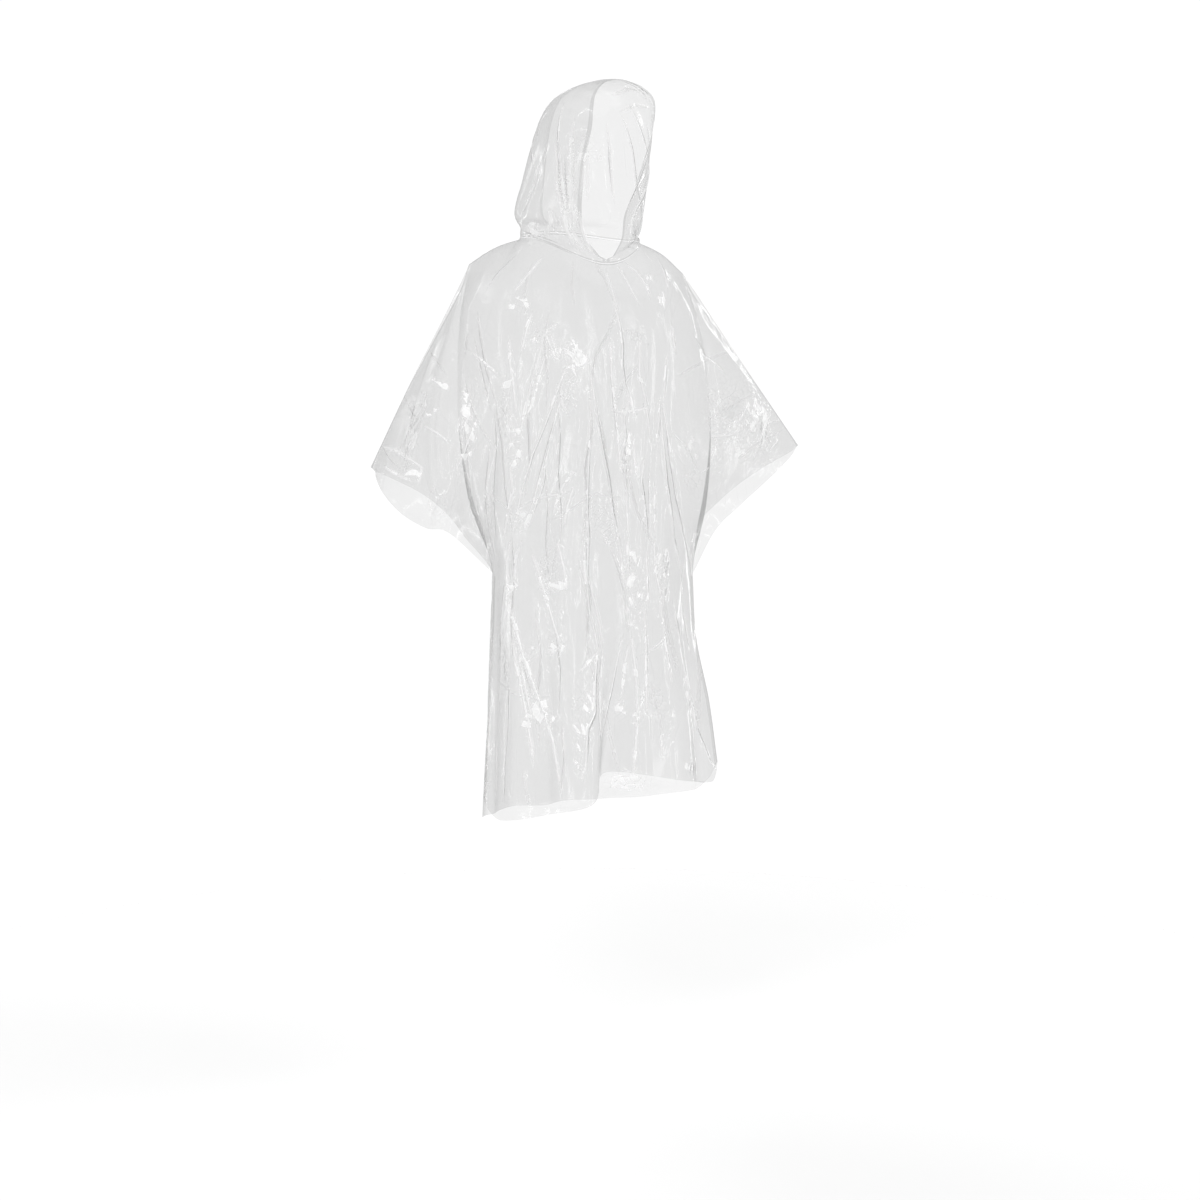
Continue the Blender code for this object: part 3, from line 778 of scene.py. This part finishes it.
def beside(route, across, up):
    """How far each place is from a route, which part of the route it is beside, and on which side
    of it (1 or -1) the place is."""
    steps = np.linalg.norm(np.diff(route, axis=0), axis=1)
    gone = np.append(0, np.cumsum(steps))
    nearest = np.full(across.shape, np.inf)
    part = np.zeros(across.shape)
    side = np.ones(across.shape)
    for index, step in enumerate(steps):
        (start_a, start_u), (end_a, end_u) = route[index], route[index + 1]
        toward_a, toward_u = (end_a - start_a) / step, (end_u - start_u) / step
        run = np.clip((across - start_a) * toward_a + (up - start_u) * toward_u, 0, step)
        off = np.hypot(across - start_a - run * toward_a, up - start_u - run * toward_u)
        over = (across - start_a) * toward_u - (up - start_u) * toward_a
        closer = off < nearest
        nearest = np.where(closer, off, nearest)
        part = np.where(closer, (gone[index] + run) / gone[-1], part)
        side = np.where(closer, np.where(over < 0, -1, 1), side)
    return nearest, part, side


def pressed(creases, across, up):
    """The rise of the creases at each place. Also, for the nearest sharp one, how far to one side
    of its line the place is, how far off it is in all, and how strongly the film is bent there."""
    rise = np.zeros(across.shape)
    fold = np.stack([rise + FAR_OFF, rise + FAR_OFF, rise], axis=-1)
    for crease in creases:
        width = CREASE_SPREAD * crease.width
        reach = CREASE_REACH * width
        low, high = crease.route.min(axis=0) - reach, crease.route.max(axis=0) + reach
        near = (across > low[0]) & (across < high[0]) & (up > low[1]) & (up < high[1])
        if not near.any():
            continue
        off, part, side = beside(crease.route, across[near], up[near])
        taper = np.sin(pi * np.clip(part, CREASE_END, 1 - CREASE_END)) ** CREASE_TAPER
        spread = off / width
        shape = np.exp(-spread if crease.sharp else -(spread**2))
        shape *= np.clip(1 - off / reach, 0, 1) ** 2
        rise[near] += crease.rise * shape * taper
        if crease.sharp:
            bend = crease.rise / FULL_RISE * taper
            here = fold[near]
            closer = off < here[:, 1]
            here[closer] = np.stack([side * off, off, bend], axis=-1)[closer]
            fold[near] = here
    return rise * CREASE_DEPTH, fold


# Film folded flat in many directions, one over the other, falls into small flat facets with
# straight edges: their size in metres, their rise as a share of it, how many times narrower and
# shorter they are drawn across and down the film, and where down it they start.
Facets = namedtuple("Facets", "size rise narrow short start")
FACET_FOLDS = 7
GOLDEN_ANGLE = 2.399963
GOLDEN_PART = 0.618
# The smallest facets as a part of their size, and how much larger the others may be.
SMALLEST_FACET = 0.7
FACET_RANGE = 0.6
# How far and how fast the folds between facets sway, in facets.
FACET_SWAY = 0.45
FACET_SWAY_RATE = 0.8


def crumpled(across, up, facets):
    """The rise of film that is crumpled into facets."""
    across, up = across * facets.narrow, up * facets.short + facets.start
    total = np.zeros(across.shape)
    for index in range(FACET_FOLDS):
        lean = index * GOLDEN_ANGLE
        wave = facets.size * (SMALLEST_FACET + FACET_RANGE * (index * GOLDEN_PART % 1))
        run = (across * cos(lean) + up * sin(lean)) / wave
        bend = (up * cos(lean) - across * sin(lean)) / wave
        sway = FACET_SWAY * np.sin(FACET_SWAY_RATE * bend + index)
        total += np.abs((run + sway) % 2 - 1) * wave
    return facets.rise * (total / FACET_FOLDS - facets.size / 2)


def crushed(crushes, across, up):
    """How strongly the film is crushed at each place, 0 to 1 times the patches' depth."""
    total = np.zeros(across.shape)
    for crush in crushes:
        long, wide = CRUSH_REACH * crush.long, CRUSH_REACH * crush.wide
        lean = radians(crush.lean)
        run = (across - crush.across) * sin(lean) + (up - crush.up) * cos(lean)
        over = (across - crush.across) * cos(lean) - (up - crush.up) * sin(lean)
        total = np.maximum(total, crush.depth * np.exp(-((run / long) ** 2) - (over / wide) ** 2))
    return total


# ---- The sheets of film ----

# The film lies calm within this distance of a weld.
SEAM_CALM = 0.012

# What presses a sheet: its creases, its crushed patches, and the facets of crushed and calm film.
Wear = namedtuple("Wear", "creases crushes crushed calm")
PANEL_FACETS = Facets(0.030, 0.30, 1, 1, 0), Facets(0.060, 0.035, 1.6, 0.45, 0.1)
HOOD_FACETS = Facets(0.026, 0.30, 1, 1, 0), Facets(0.045, 0.03, 1.7, 0.5, 0.3)


def worn(points, outward, across, up, seam, wear):
    """A sheet's points with its wear pressed in, and the marks of that for the film's finish."""
    rise, fold = pressed(wear.creases, across, up)
    crush = crushed(wear.crushes, across, up)
    rise += crush * crumpled(across, up, wear.crushed) + crumpled(across, up, wear.calm)
    points = points + outward * (rise * ease(0, SEAM_CALM, seam))[..., None]
    cut = np.stack([across, up, np.zeros(up.shape)], axis=-1)
    return points, {"cut": cut, "seam": seam, "fold": fold, "crush": crush}


def film_sheet(name, points, wanted, outside, marks):
    """One sheet of film from a grid of points. Its marks are stored for the film's finish."""
    across_count, down_count = points.shape[:2]
    index = np.arange(across_count * down_count).reshape(across_count, down_count)
    corners = np.stack([index[:-1, :-1], index[1:, :-1], index[1:, 1:], index[:-1, 1:]], axis=-1)
    corners = corners[wanted]
    if outside < 0:
        corners = corners[:, ::-1]
    used, faces = np.unique(corners, return_inverse=True)
    faces = faces.reshape(corners.shape)
    mesh = bpy.data.meshes.new(name)
    mesh.from_pydata(points.reshape(-1, 3)[used].tolist(), [], faces.tolist())
    for mark, values in marks.items():
        flat = values.reshape(index.size, -1)[used]
        kind = "FLOAT_VECTOR" if flat.shape[1] == 3 else "FLOAT"
        attribute = mesh.attributes.new(mark, kind, "POINT")
        attribute.data.foreach_set("vector" if kind == "FLOAT_VECTOR" else "value", flat.ravel())
    mesh.shade_smooth()
    sheet = bpy.data.objects.new(name, mesh)
    bpy.context.scene.collection.objects.link(sheet)
    return sheet


# The panels' edges have no hem, so every place on them counts as this far from one, in metres.
NO_HEM = 1.0


def film_length(points):
    """How far along the film each point is, down its strip, seen from the side."""
    steps = np.linalg.norm(np.diff(points, axis=1)[..., 1:], axis=-1)
    return np.concatenate([np.zeros((len(points), 1)), np.cumsum(steps, axis=1)], axis=1)


def panel_sheet(name, panel, wear):
    """The front or the back panel's sheet of film."""
    points = panel.points()
    columns, rows = points.shape[:2]
    body = slice(SLEEVE_STRIPS, SLEEVE_STRIPS + BODY_STRIPS + 1)
    outward = normals_of(points, panel.facing)
    outward[:, : UPPER_STRIPS + 1] = normals_of(points[:, : UPPER_STRIPS + 1], panel.facing)
    outward[body] = normals_of(points[body], panel.facing)
    across = points[..., 0]
    down = film_length(points)
    up = points[:, :1, 2] - down

    column_index = np.arange(columns)[:, None]
    row_index = np.arange(rows)[None, :]
    in_body = (column_index >= SLEEVE_STRIPS) & (column_index <= SLEEVE_STRIPS + BODY_STRIPS)
    last_row = np.where(in_body, rows - 1, UPPER_STRIPS)
    side_right, side_left = across[SLEEVE_STRIPS], across[SLEEVE_STRIPS + BODY_STRIPS]
    to_side = np.minimum(np.abs(across - side_right), np.abs(side_left - across))
    # The nearest weld is the shoulder's or the overarm's above, and a side's below the underarm.
    seam = np.where(row_index <= UPPER_STRIPS, down, to_side)
    rim = np.take_along_axis(down, last_row, axis=1) - down

    points, marks = worn(points, outward, across, up, seam, wear)
    marks["rim"] = rim
    marks["hem"] = np.full(rim.shape, NO_HEM)
    wanted = (row_index[:, :-1] < UPPER_STRIPS) | (in_body[:-1] & in_body[1:])
    return film_sheet(name, points, wanted, panel.facing, marks)


def hood_sheet(name, side, wear):
    """A hood half: its rows fall from the crown, and the last few stand on the neckline weld."""
    part = np.linspace(0, 1, HOOD_STRIPS + 1)[:, None]
    down = np.linspace(0, 1, HOOD_ROWS + 1)[None, :]
    stations = np.linspace(0, 1, len(HOOD))
    at = {field: follow(stations, column(HOOD, field), down) for field in HoodRow._fields}
    forward = between(at["forward_front"], at["forward_back"], part)
    height = between(at["height_front"], at["height_back"], part)
    height = height + CROWN_RISE * np.sin(pi * part) * (1 - down) ** 2
    height = height + NECK_SIDE_RISE * np.sin(pi * part) * down**2
    wide = np.zeros_like(forward)
    for row in range(HOOD_ROWS + 1):
        widths = [float(at[place][0, row]) for place in ("edge", "cheek", "side", "rear")]
        wide[:, row] = follow(HOOD_PLACES, (*widths, 0), part[:, 0])
    points = np.stack([side * (wide + SEAM_GAP / 2), -forward, height], axis=-1)

    ring_wide, ring_forward, ring_height = neckline(part)
    foot = []
    for row in range(FOOT_ROWS + 1):
        above = WALL + SEAM_GAP + HOOD_FOOT * (1 - row / FOOT_ROWS)
        ring = [side * (ring_wide + SEAM_GAP / 2), -ring_forward, ring_height + above]
        foot.append(np.stack(ring, axis=-1))
    points = np.concatenate([points, *foot], axis=1)

    outside = -side
    outward = normals_of(points, outside)
    back, up = points[..., 1], points[..., 2]
    across_steps = np.linalg.norm(np.diff(points, axis=0), axis=-1)
    from_face = np.concatenate([0 * across_steps[:1], np.cumsum(across_steps, axis=0)], axis=0)
    seam = np.minimum(from_face[-1:] - from_face, np.abs(up - points[:, -1:, 2]))
    points, marks = worn(points, outward, back, up, seam, wear)
    marks["rim"] = marks["hem"] = from_face
    wanted = np.ones((points.shape[0] - 1, points.shape[1] - 1), bool)
    return film_sheet(name, points, wanted, outside, marks)


# ---- Finishes ----


def linear(code):
    """An sRGB hex colour as linear red, green, blue and full cover."""
    parts = [int(code[index : index + 2], 16) / 255 for index in (0, 2, 4)]
    light = [part / 12.92 if part <= 0.04045 else ((part + 0.055) / 1.055) ** 2.4 for part in parts]
    return (*light, 1)


def add(tree, kind, settings=None, **sockets):
    """One node with its settings, and what its sockets take: a value, an output, or another
    node's first output. A socket is given by its name, or by its number as in0, in1 and so on."""
    node = tree.nodes.new(kind)
    for name, value in (settings or {}).items():
        setattr(node, name, value)
    for name, value in sockets.items():
        number = name.removeprefix("in")
        socket = node.inputs[int(number) if number.isdigit() else name.replace("_", " ")]
        if isinstance(value, bpy.types.Node):
            value = value.outputs[0]
        if isinstance(value, bpy.types.NodeSocket):
            tree.links.new(value, socket)
        else:
            socket.default_value = value
    return node


MATH, RANGE, CELLS = "ShaderNodeMath", "ShaderNodeMapRange", "ShaderNodeTexVoronoi"
CLOUDS, MARK, PLACE = "ShaderNodeTexNoise", "ShaderNodeAttribute", "ShaderNodeMapping"
ARROW, TURN, PARTS = "ShaderNodeVectorMath", "ShaderNodeVectorRotate", "ShaderNodeSeparateXYZ"
MIXED = "ShaderNodeMixShader"
FLAT = {"noise_dimensions": "2D"}
CELL = {"voronoi_dimensions": "2D"}
CELL_EDGES = {"voronoi_dimensions": "2D", "feature": "DISTANCE_TO_EDGE"}
SMOOTH = {"interpolation_type": "SMOOTHSTEP"}
TIMES = {"operation": "MULTIPLY"}
TIMES_PLUS = {"operation": "MULTIPLY_ADD"}
LARGER = {"operation": "MAXIMUM"}
UNSIGNED = {"operation": "ABSOLUTE"}

# The film's own small folds, as cells, with their width and length in millimetres and their lean
# from upright in degrees. Streaks run down the film, and where it is crushed it breaks into shards
# and splinters. Both are drawn coarser than the real ones, which go down to 1 mm, so they show.
FILM_PATTERNS = (
    ("streaks", 30, 230, 0),
    ("shards", 13, 38, 28),
    ("splinters", 9, 20, -45),
)
# Sizes in millimetres of the clouds in which the film is milkier, and of the swells that make its
# patterns sway, and how far those sway to each side, in metres.
CLOUD_SIZE = 71.4
SWELL_SIZE = 111
SWAY = (0.02, 0.02, 0.0)
# Half the width of a sharp crease, in metres, and how far off it, past its ends too, its marks
# are still full and are gone.
CREASE_FOOT = 0.005
CREASE_CLOSE = 0.004
CREASE_AWAY = 0.007
# How much the film mirrors face on, how much more at a grazing angle, and how late that comes.
MIRROR_FACING = 0.08
MIRROR_GRAZING = 0.80
MIRROR_POWER = 3.0
# How milky the film is all over, and the share of milky film's light that comes out behind it.
MILKY = 0.02
SHINES_THROUGH = 0.4


def blown_polythene_film():
    """Low density polythene film, blown as a tube: clear, faintly milky and glossy on both faces.
    Creases and welds scatter light and look whiter. Crushed film breaks into facets, and random ones are
    painted white as glints; the film to one side of a sharp crease is painted darker as shade."""
    material = bpy.data.materials.new("blown_polythene_film")
    material.use_nodes = True
    tree = material.node_tree
    tree.nodes.clear()
    cut, fold = (add(tree, MARK, {"attribute_name": name}).outputs["Vector"] for name in ("cut", "fold"))
    crush, seam, rim, hem = (
        add(tree, MARK, {"attribute_name": name}).outputs["Fac"]
        for name in ("crush", "seam", "rim", "hem")
    )

    # The patterns: how far each place is from the edge of its cell.
    swell = add(tree, CLOUDS, FLAT, Vector=cut, Scale=MILLIMETRES / SWELL_SIZE, Detail=2.0)
    swell = add(tree, ARROW, {"operation": "SUBTRACT"}, in0=swell.outputs["Color"], in1=(0.5, 0.5, 0.5))
    swayed = add(tree, ARROW, TIMES_PLUS, in0=swell, in1=SWAY, in2=cut)
    cells, edges = {}, {}
    for name, wide, long, lean in FILM_PATTERNS:
        place = add(tree, TURN, Vector=swayed, Angle=radians(lean))
        place = add(tree, PLACE, Vector=place, Scale=(1.0, wide / long, 1.0))
        cells[name] = {"Vector": place, "Scale": MILLIMETRES / wide}
        edges[name] = add(tree, CELLS, CELL_EDGES, **cells[name])
    cloud = add(tree, CLOUDS, FLAT, Vector=cut, Scale=MILLIMETRES / CLOUD_SIZE, Detail=4.0)
    patchy = add(tree, RANGE, SMOOTH, Value=cloud, From_Min=0.46, From_Max=0.62)

    # A sharp crease: how far to one side of its line each place is, how far off in all, and how
    # strongly the film is bent there, up or down.
    fold = add(tree, PARTS, Vector=fold)
    aside = add(tree, MATH, UNSIGNED, in0=fold.outputs["X"])
    near = {"From_Min": CREASE_CLOSE, "From_Max": CREASE_AWAY, "To_Min": 1, "To_Max": 0}
    near = add(tree, RANGE, SMOOTH, Value=fold.outputs["Y"], **near)
    bend = add(tree, MATH, TIMES, in0=fold.outputs["Z"], in1=near)
    bent = add(tree, MATH, UNSIGNED, in0=bend)
    slope = add(tree, RANGE, Value=aside, From_Max=CREASE_FOOT, To_Min=1, To_Max=0)
    slope = add(tree, MATH, TIMES, in0=slope, in1=slope)

    # The bump: each pattern, where it shows, and its height in metres.
    height = 0.0
    for pattern, where, rise in (
        (edges["streaks"], patchy, 0.0009),
        (edges["shards"], crush, 0.0055),
        (edges["splinters"], crush, 0.0022),
        (slope, bend, 0.0018),
    ):
        shown = add(tree, MATH, TIMES, in0=pattern, in1=where)
        height = add(tree, MATH, TIMES_PLUS, in0=shown, in1=rise, in2=height)
    bump = add(tree, "ShaderNodeBump", Strength=1.0, Distance=1.0, Height=height)

    # Marks that die away: what each is measured by, where it is full and where it is gone, how
    # strong it is and what it shows on. The last three are measured in parts of a cell.
    marks = {}
    for name, measure, full, gone, strength, shows_on in (
        ("white line", aside, 0.0008, 0.0030, 1, bent),
        ("worn", aside, 0.002, 0.006, 0.45, bent),
        # painted shade on one side of a sharp crease, for the shaded side of the fold
        ("painted shade side", aside, 0.0018, 0.0036, 0.24, bent),
        ("cut edge", rim, 0.0008, 0.0018, 1, None),
        ("hemmed", hem, 0.0075, 0.0085, 1, None),
        ("welded", seam, 0.0022, 0.0030, 1, None),
        ("ridges", edges["streaks"], 0, 0.035, 1, patchy),
        ("cracks", edges["shards"], 0, 0.06, 1, crush),
        ("glints", edges["splinters"], 0, 0.10, 1, crush),
    ):
        span = {"From_Min": full, "From_Max": gone, "To_Min": strength, "To_Max": 0}
        mark = add(tree, RANGE, SMOOTH, Value=measure, **span)
        marks[name] = mark if shows_on is None else add(tree, MATH, TIMES, in0=mark, in1=shows_on)

    # Painted glints: shards picked at random, by their cells' own red, are made white as if turned to the
    # light. The more crushed, the more of them, and a few lie along the sharp creases.
    broken = add(tree, MATH, LARGER, in0=marks["worn"], in1=crush)
    turned = add(tree, MATH, TIMES, in0=broken, in1=0.25)
    for name in ("shards", "splinters"):
        turn = add(tree, PARTS, Vector=add(tree, CELLS, CELL, **cells[name]).outputs["Color"])
        turned = add(tree, MATH, TIMES_PLUS, in0=turn, in1=0.5, in2=turned)
    painted_glints = add(tree, RANGE, SMOOTH, Value=turned, From_Min=0.77, From_Max=0.82)
    within = add(tree, RANGE, SMOOTH, Value=broken, From_Min=0.15, From_Max=0.30)
    painted_glints = add(tree, MATH, TIMES, in0=painted_glints, in1=within)

    # Two layers lie lapped along the face edge's hem and in the welds, and are darker. The film just to
    # one side of a sharp crease is darkened too, as painted shade for the shaded side of the fold.
    lapped = add(tree, MATH, LARGER, in0=marks["hemmed"], in1=marks["welded"])
    shaded_side = add(tree, RANGE, SMOOTH, Value=fold.outputs["X"], From_Min=0.0008, From_Max=0.0018)
    painted_shade = add(tree, MATH, TIMES, in0=shaded_side, in1=marks["painted shade side"])
    lapped_and_painted_shade = add(tree, MATH, LARGER, in0=lapped, in1=painted_shade)
    tint_and_painted_shade = {"in0": lapped_and_painted_shade, "in6": linear("f1f1f1"), "in7": linear("dedede")}
    tint_and_painted_shade = add(tree, "ShaderNodeMix", {"data_type": "RGBA"}, **tint_and_painted_shade).outputs[2]
    clear = add(tree, "ShaderNodeBsdfTransparent", Color=tint_and_painted_shade)

    # Milky film scatters light back, and part of it on to its other side. It is a little milky all over,
    # and more so at cut edges, crease lines and the edges of facets, and the painted glints of shards are
    # made of it too.
    white = linear("f6f6f6")
    front = add(tree, "ShaderNodeBsdfPrincipled", Base_Color=white, Roughness=0.45, IOR=1.51, Normal=bump)
    behind = add(tree, "ShaderNodeBsdfTranslucent", Color=white, Normal=bump)
    milky = add(tree, MIXED, in0=SHINES_THROUGH, in1=front, in2=behind)
    haze = MILKY
    for cause, share in (
        (cloud, 0.05),
        (lapped, 0.05),
        (marks["cut edge"], 0.10),
        (marks["white line"], 0.90),
        (marks["ridges"], 0.06),
        (marks["cracks"], 0.40),
        (marks["glints"], 0.25),
        (painted_glints, 0.85),
    ):
        haze = add(tree, MATH, TIMES_PLUS, in0=cause, in1=share, in2=haze)
    body = add(tree, MIXED, in0=haze, in1=clear, in2=milky)

    # Film mirrors more at a grazing angle.
    facing = add(tree, "ShaderNodeLayerWeight", Blend=0.5, Normal=bump).outputs["Facing"]
    facing = add(tree, MATH, {"operation": "POWER"}, in0=facing, in1=MIRROR_POWER)
    mirrored = add(tree, MATH, TIMES_PLUS, in0=facing, in1=MIRROR_GRAZING, in2=MIRROR_FACING)
    shine = add(tree, "ShaderNodeBsdfGlossy", Color=linear("ffffff"), Roughness=0.12, Normal=bump)
    film = add(tree, MIXED, in0=mirrored, in1=body, in2=shine)
    add(tree, "ShaderNodeOutputMaterial", Surface=film)
    return material


def pale_floor():
    """Studio floor painted a matt pale grey, which the lamps light to white: it has no shine."""
    material = bpy.data.materials.new("matt_pale_floor_paint")
    material.use_nodes = True
    tree = material.node_tree
    tree.nodes.clear()
    paint = add(tree, "ShaderNodeBsdfDiffuse", Color=linear("d4d4d4"))
    add(tree, "ShaderNodeOutputMaterial", Surface=paint)
    return material


# ---- The garment ----

front_panel = Panel(facing=-1, levels=FRONT_LEVELS, hem=FRONT_HEM, folds=FRONT_FOLDS, lip="front")
back_panel = Panel(facing=1, levels=BACK_LEVELS, hem=BACK_HEM, folds=BACK_FOLDS, lip="back")
front_wear = Wear(FRONT_CREASES, FRONT_CRUSHES, *PANEL_FACETS)
back_wear = Wear(BACK_CREASES, BACK_CRUSHES, *PANEL_FACETS)
hood_right_wear = Wear(HOOD_RIGHT_CREASES, HOOD_RIGHT_CRUSHES, *HOOD_FACETS)
hood_left_wear = Wear(HOOD_LEFT_CREASES, HOOD_LEFT_CRUSHES, *HOOD_FACETS)
sheets = {
    "front_panel": panel_sheet("front_film", front_panel, front_wear),
    "back_panel": panel_sheet("back_film", back_panel, back_wear),
    "hood_right": hood_sheet("hood_right_film", RIGHT, hood_right_wear),
    "hood_left": hood_sheet("hood_left_film", LEFT, hood_left_wear),
}
film = blown_polythene_film()
for node, sheet in sheets.items():
    sheet.data.materials.append(film)
    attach(sheet, "root")
    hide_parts(node)


# ---- Floor, light and camera ----

scene = bpy.context.scene

# A round floor: its far edge stays below the garment in the picture, where both are white.
FLOOR_HEIGHT = -1.53
FLOOR_RADIUS = 1.7
FLOOR_SIDES = 64
rim_turns = [2 * pi * side / FLOOR_SIDES for side in range(FLOOR_SIDES)]
floor_rim = [(FLOOR_RADIUS * cos(turn), FLOOR_RADIUS * sin(turn), FLOOR_HEIGHT) for turn in rim_turns]
floor_mesh = bpy.data.meshes.new("studio_floor")
floor_mesh.from_pydata(floor_rim, [], [tuple(range(FLOOR_SIDES))])
floor = bpy.data.objects.new("studio_floor", floor_mesh)
scene.collection.objects.link(floor)
floor.data.materials.append(pale_floor())

# The room's white light, and the brighter white paper that the camera sees behind the garment.
ROOM_LIGHT = 0.62
PAPER_GLOW = 1.03
world = bpy.data.worlds.new("studio")
world.use_nodes = True
scene.world = world
tree = world.node_tree
tree.nodes.clear()
room = add(tree, "ShaderNodeBackground", Color=linear("ffffff"), Strength=ROOM_LIGHT)
paper = add(tree, "ShaderNodeBackground", Color=linear("ffffff"), Strength=PAPER_GLOW)
seen = add(tree, "ShaderNodeLightPath").outputs["Is Camera Ray"]
both = add(tree, MIXED, in0=seen, in1=room, in2=paper)
add(tree, "ShaderNodeOutputWorld", Surface=both)


def studio_light(name, kind, turn, rise):
    """A light that shines at the garment from a turn round it and a rise above the horizon."""
    light = bpy.data.objects.new(name, bpy.data.lights.new(name, kind))
    light.rotation_euler = (radians(90) - rise, 0, turn)
    scene.collection.objects.link(light)
    return light


# Wide soft lamps far off: azimuth round the garment from its front, height above the horizon,
# strength and how wide each looks, in degrees.
Lamp = namedtuple("Lamp", "azimuth elevation strength wide")
LAMPS = table(
    Lamp,
    (-55, 38, 1.75, 40),
    (50, 38, 1.55, 40),
    (175, 38, 1.55, 40),
)
for number, lamp in enumerate(LAMPS):
    light = studio_light(f"soft_lamp_{number}", "SUN", radians(lamp.azimuth), radians(lamp.elevation))
    light.data.energy = lamp.strength
    light.data.angle = radians(lamp.wide)
    light.visible_glossy = False

# Soft boxes round the garment, each turned to it: azimuth and elevation as seen from it, width and
# height in metres, and glow, which is how bright its face is. They are hidden from the camera and
# light no matt surface, so they show in the film's shine only.
Box = namedtuple("Box", "azimuth elevation wide tall glow")
BOX_DISTANCE = 3.4
BOXES = table(
    Box,
    (-150, 0, 0.08, 3.0, 5.0),
    (-92, 0, 0.08, 3.0, 5.0),
    (-62, 0, 0.05, 3.0, 4.0),
    (-18, 0, 0.06, 3.0, 4.0),
    (-3, 0, 0.04, 3.0, 4.0),
    (18, 0, 0.06, 3.0, 4.5),
    (36, 0, 0.04, 3.0, 4.0),
    (56, 0, 0.05, 3.0, 4.0),
    (104, 0, 0.08, 3.0, 3.0),
    (152, 0, 0.08, 3.0, 2.0),
    (-70, 55, 1.2, 1.2, 0.9),
    (80, 60, 0.8, 0.8, 1.2),
)
for number, box in enumerate(BOXES):
    turn, rise = radians(box.azimuth), radians(box.elevation)
    light = studio_light(f"soft_box_{number}", "AREA", turn, rise)
    light.data.shape = "RECTANGLE"
    light.data.size = box.wide
    light.data.size_y = box.tall
    light.data.energy = box.glow * pi * box.wide * box.tall
    direction = (cos(rise) * sin(turn), -cos(rise) * cos(turn), sin(rise))
    light.location = [BOX_DISTANCE * part for part in direction]
    light.visible_camera = False
    light.visible_diffuse = False

# The photograph's view: 37 degrees round to the wearer's right, 4.5 m off, looking a little down.
# The garment's middle is AXIS_ASIDE pixels to the left of the picture's.
CAMERA_TURN = radians(-37)
CAMERA_DOWN = radians(5.9)
CAMERA_DISTANCE = 4.5
CAMERA_HEIGHT = -0.18
AIM_FORWARD = 0.03
SENSOR_WIDTH = 36
LENS = 72.36
PICTURE_WIDTH = 1200
AXIS_ASIDE = 10
aim_aside = AXIS_ASIDE / PICTURE_WIDTH * SENSOR_WIDTH / LENS * CAMERA_DISTANCE
camera = bpy.data.objects.new("camera", bpy.data.cameras.new("camera"))
camera.data.sensor_width = SENSOR_WIDTH
camera.data.lens = LENS
camera.location = (
    CAMERA_DISTANCE * sin(CAMERA_TURN) + aim_aside * cos(CAMERA_TURN),
    -CAMERA_DISTANCE * cos(CAMERA_TURN) + aim_aside * sin(CAMERA_TURN) - AIM_FORWARD,
    CAMERA_HEIGHT,
)
camera.rotation_euler = (radians(90) - CAMERA_DOWN, 0, CAMERA_TURN)
scene.collection.objects.link(camera)
scene.camera = camera
scene.view_settings.view_transform = "Standard"
# So many layers of film are seen through one another.
scene.cycles.transparent_max_bounces = 32
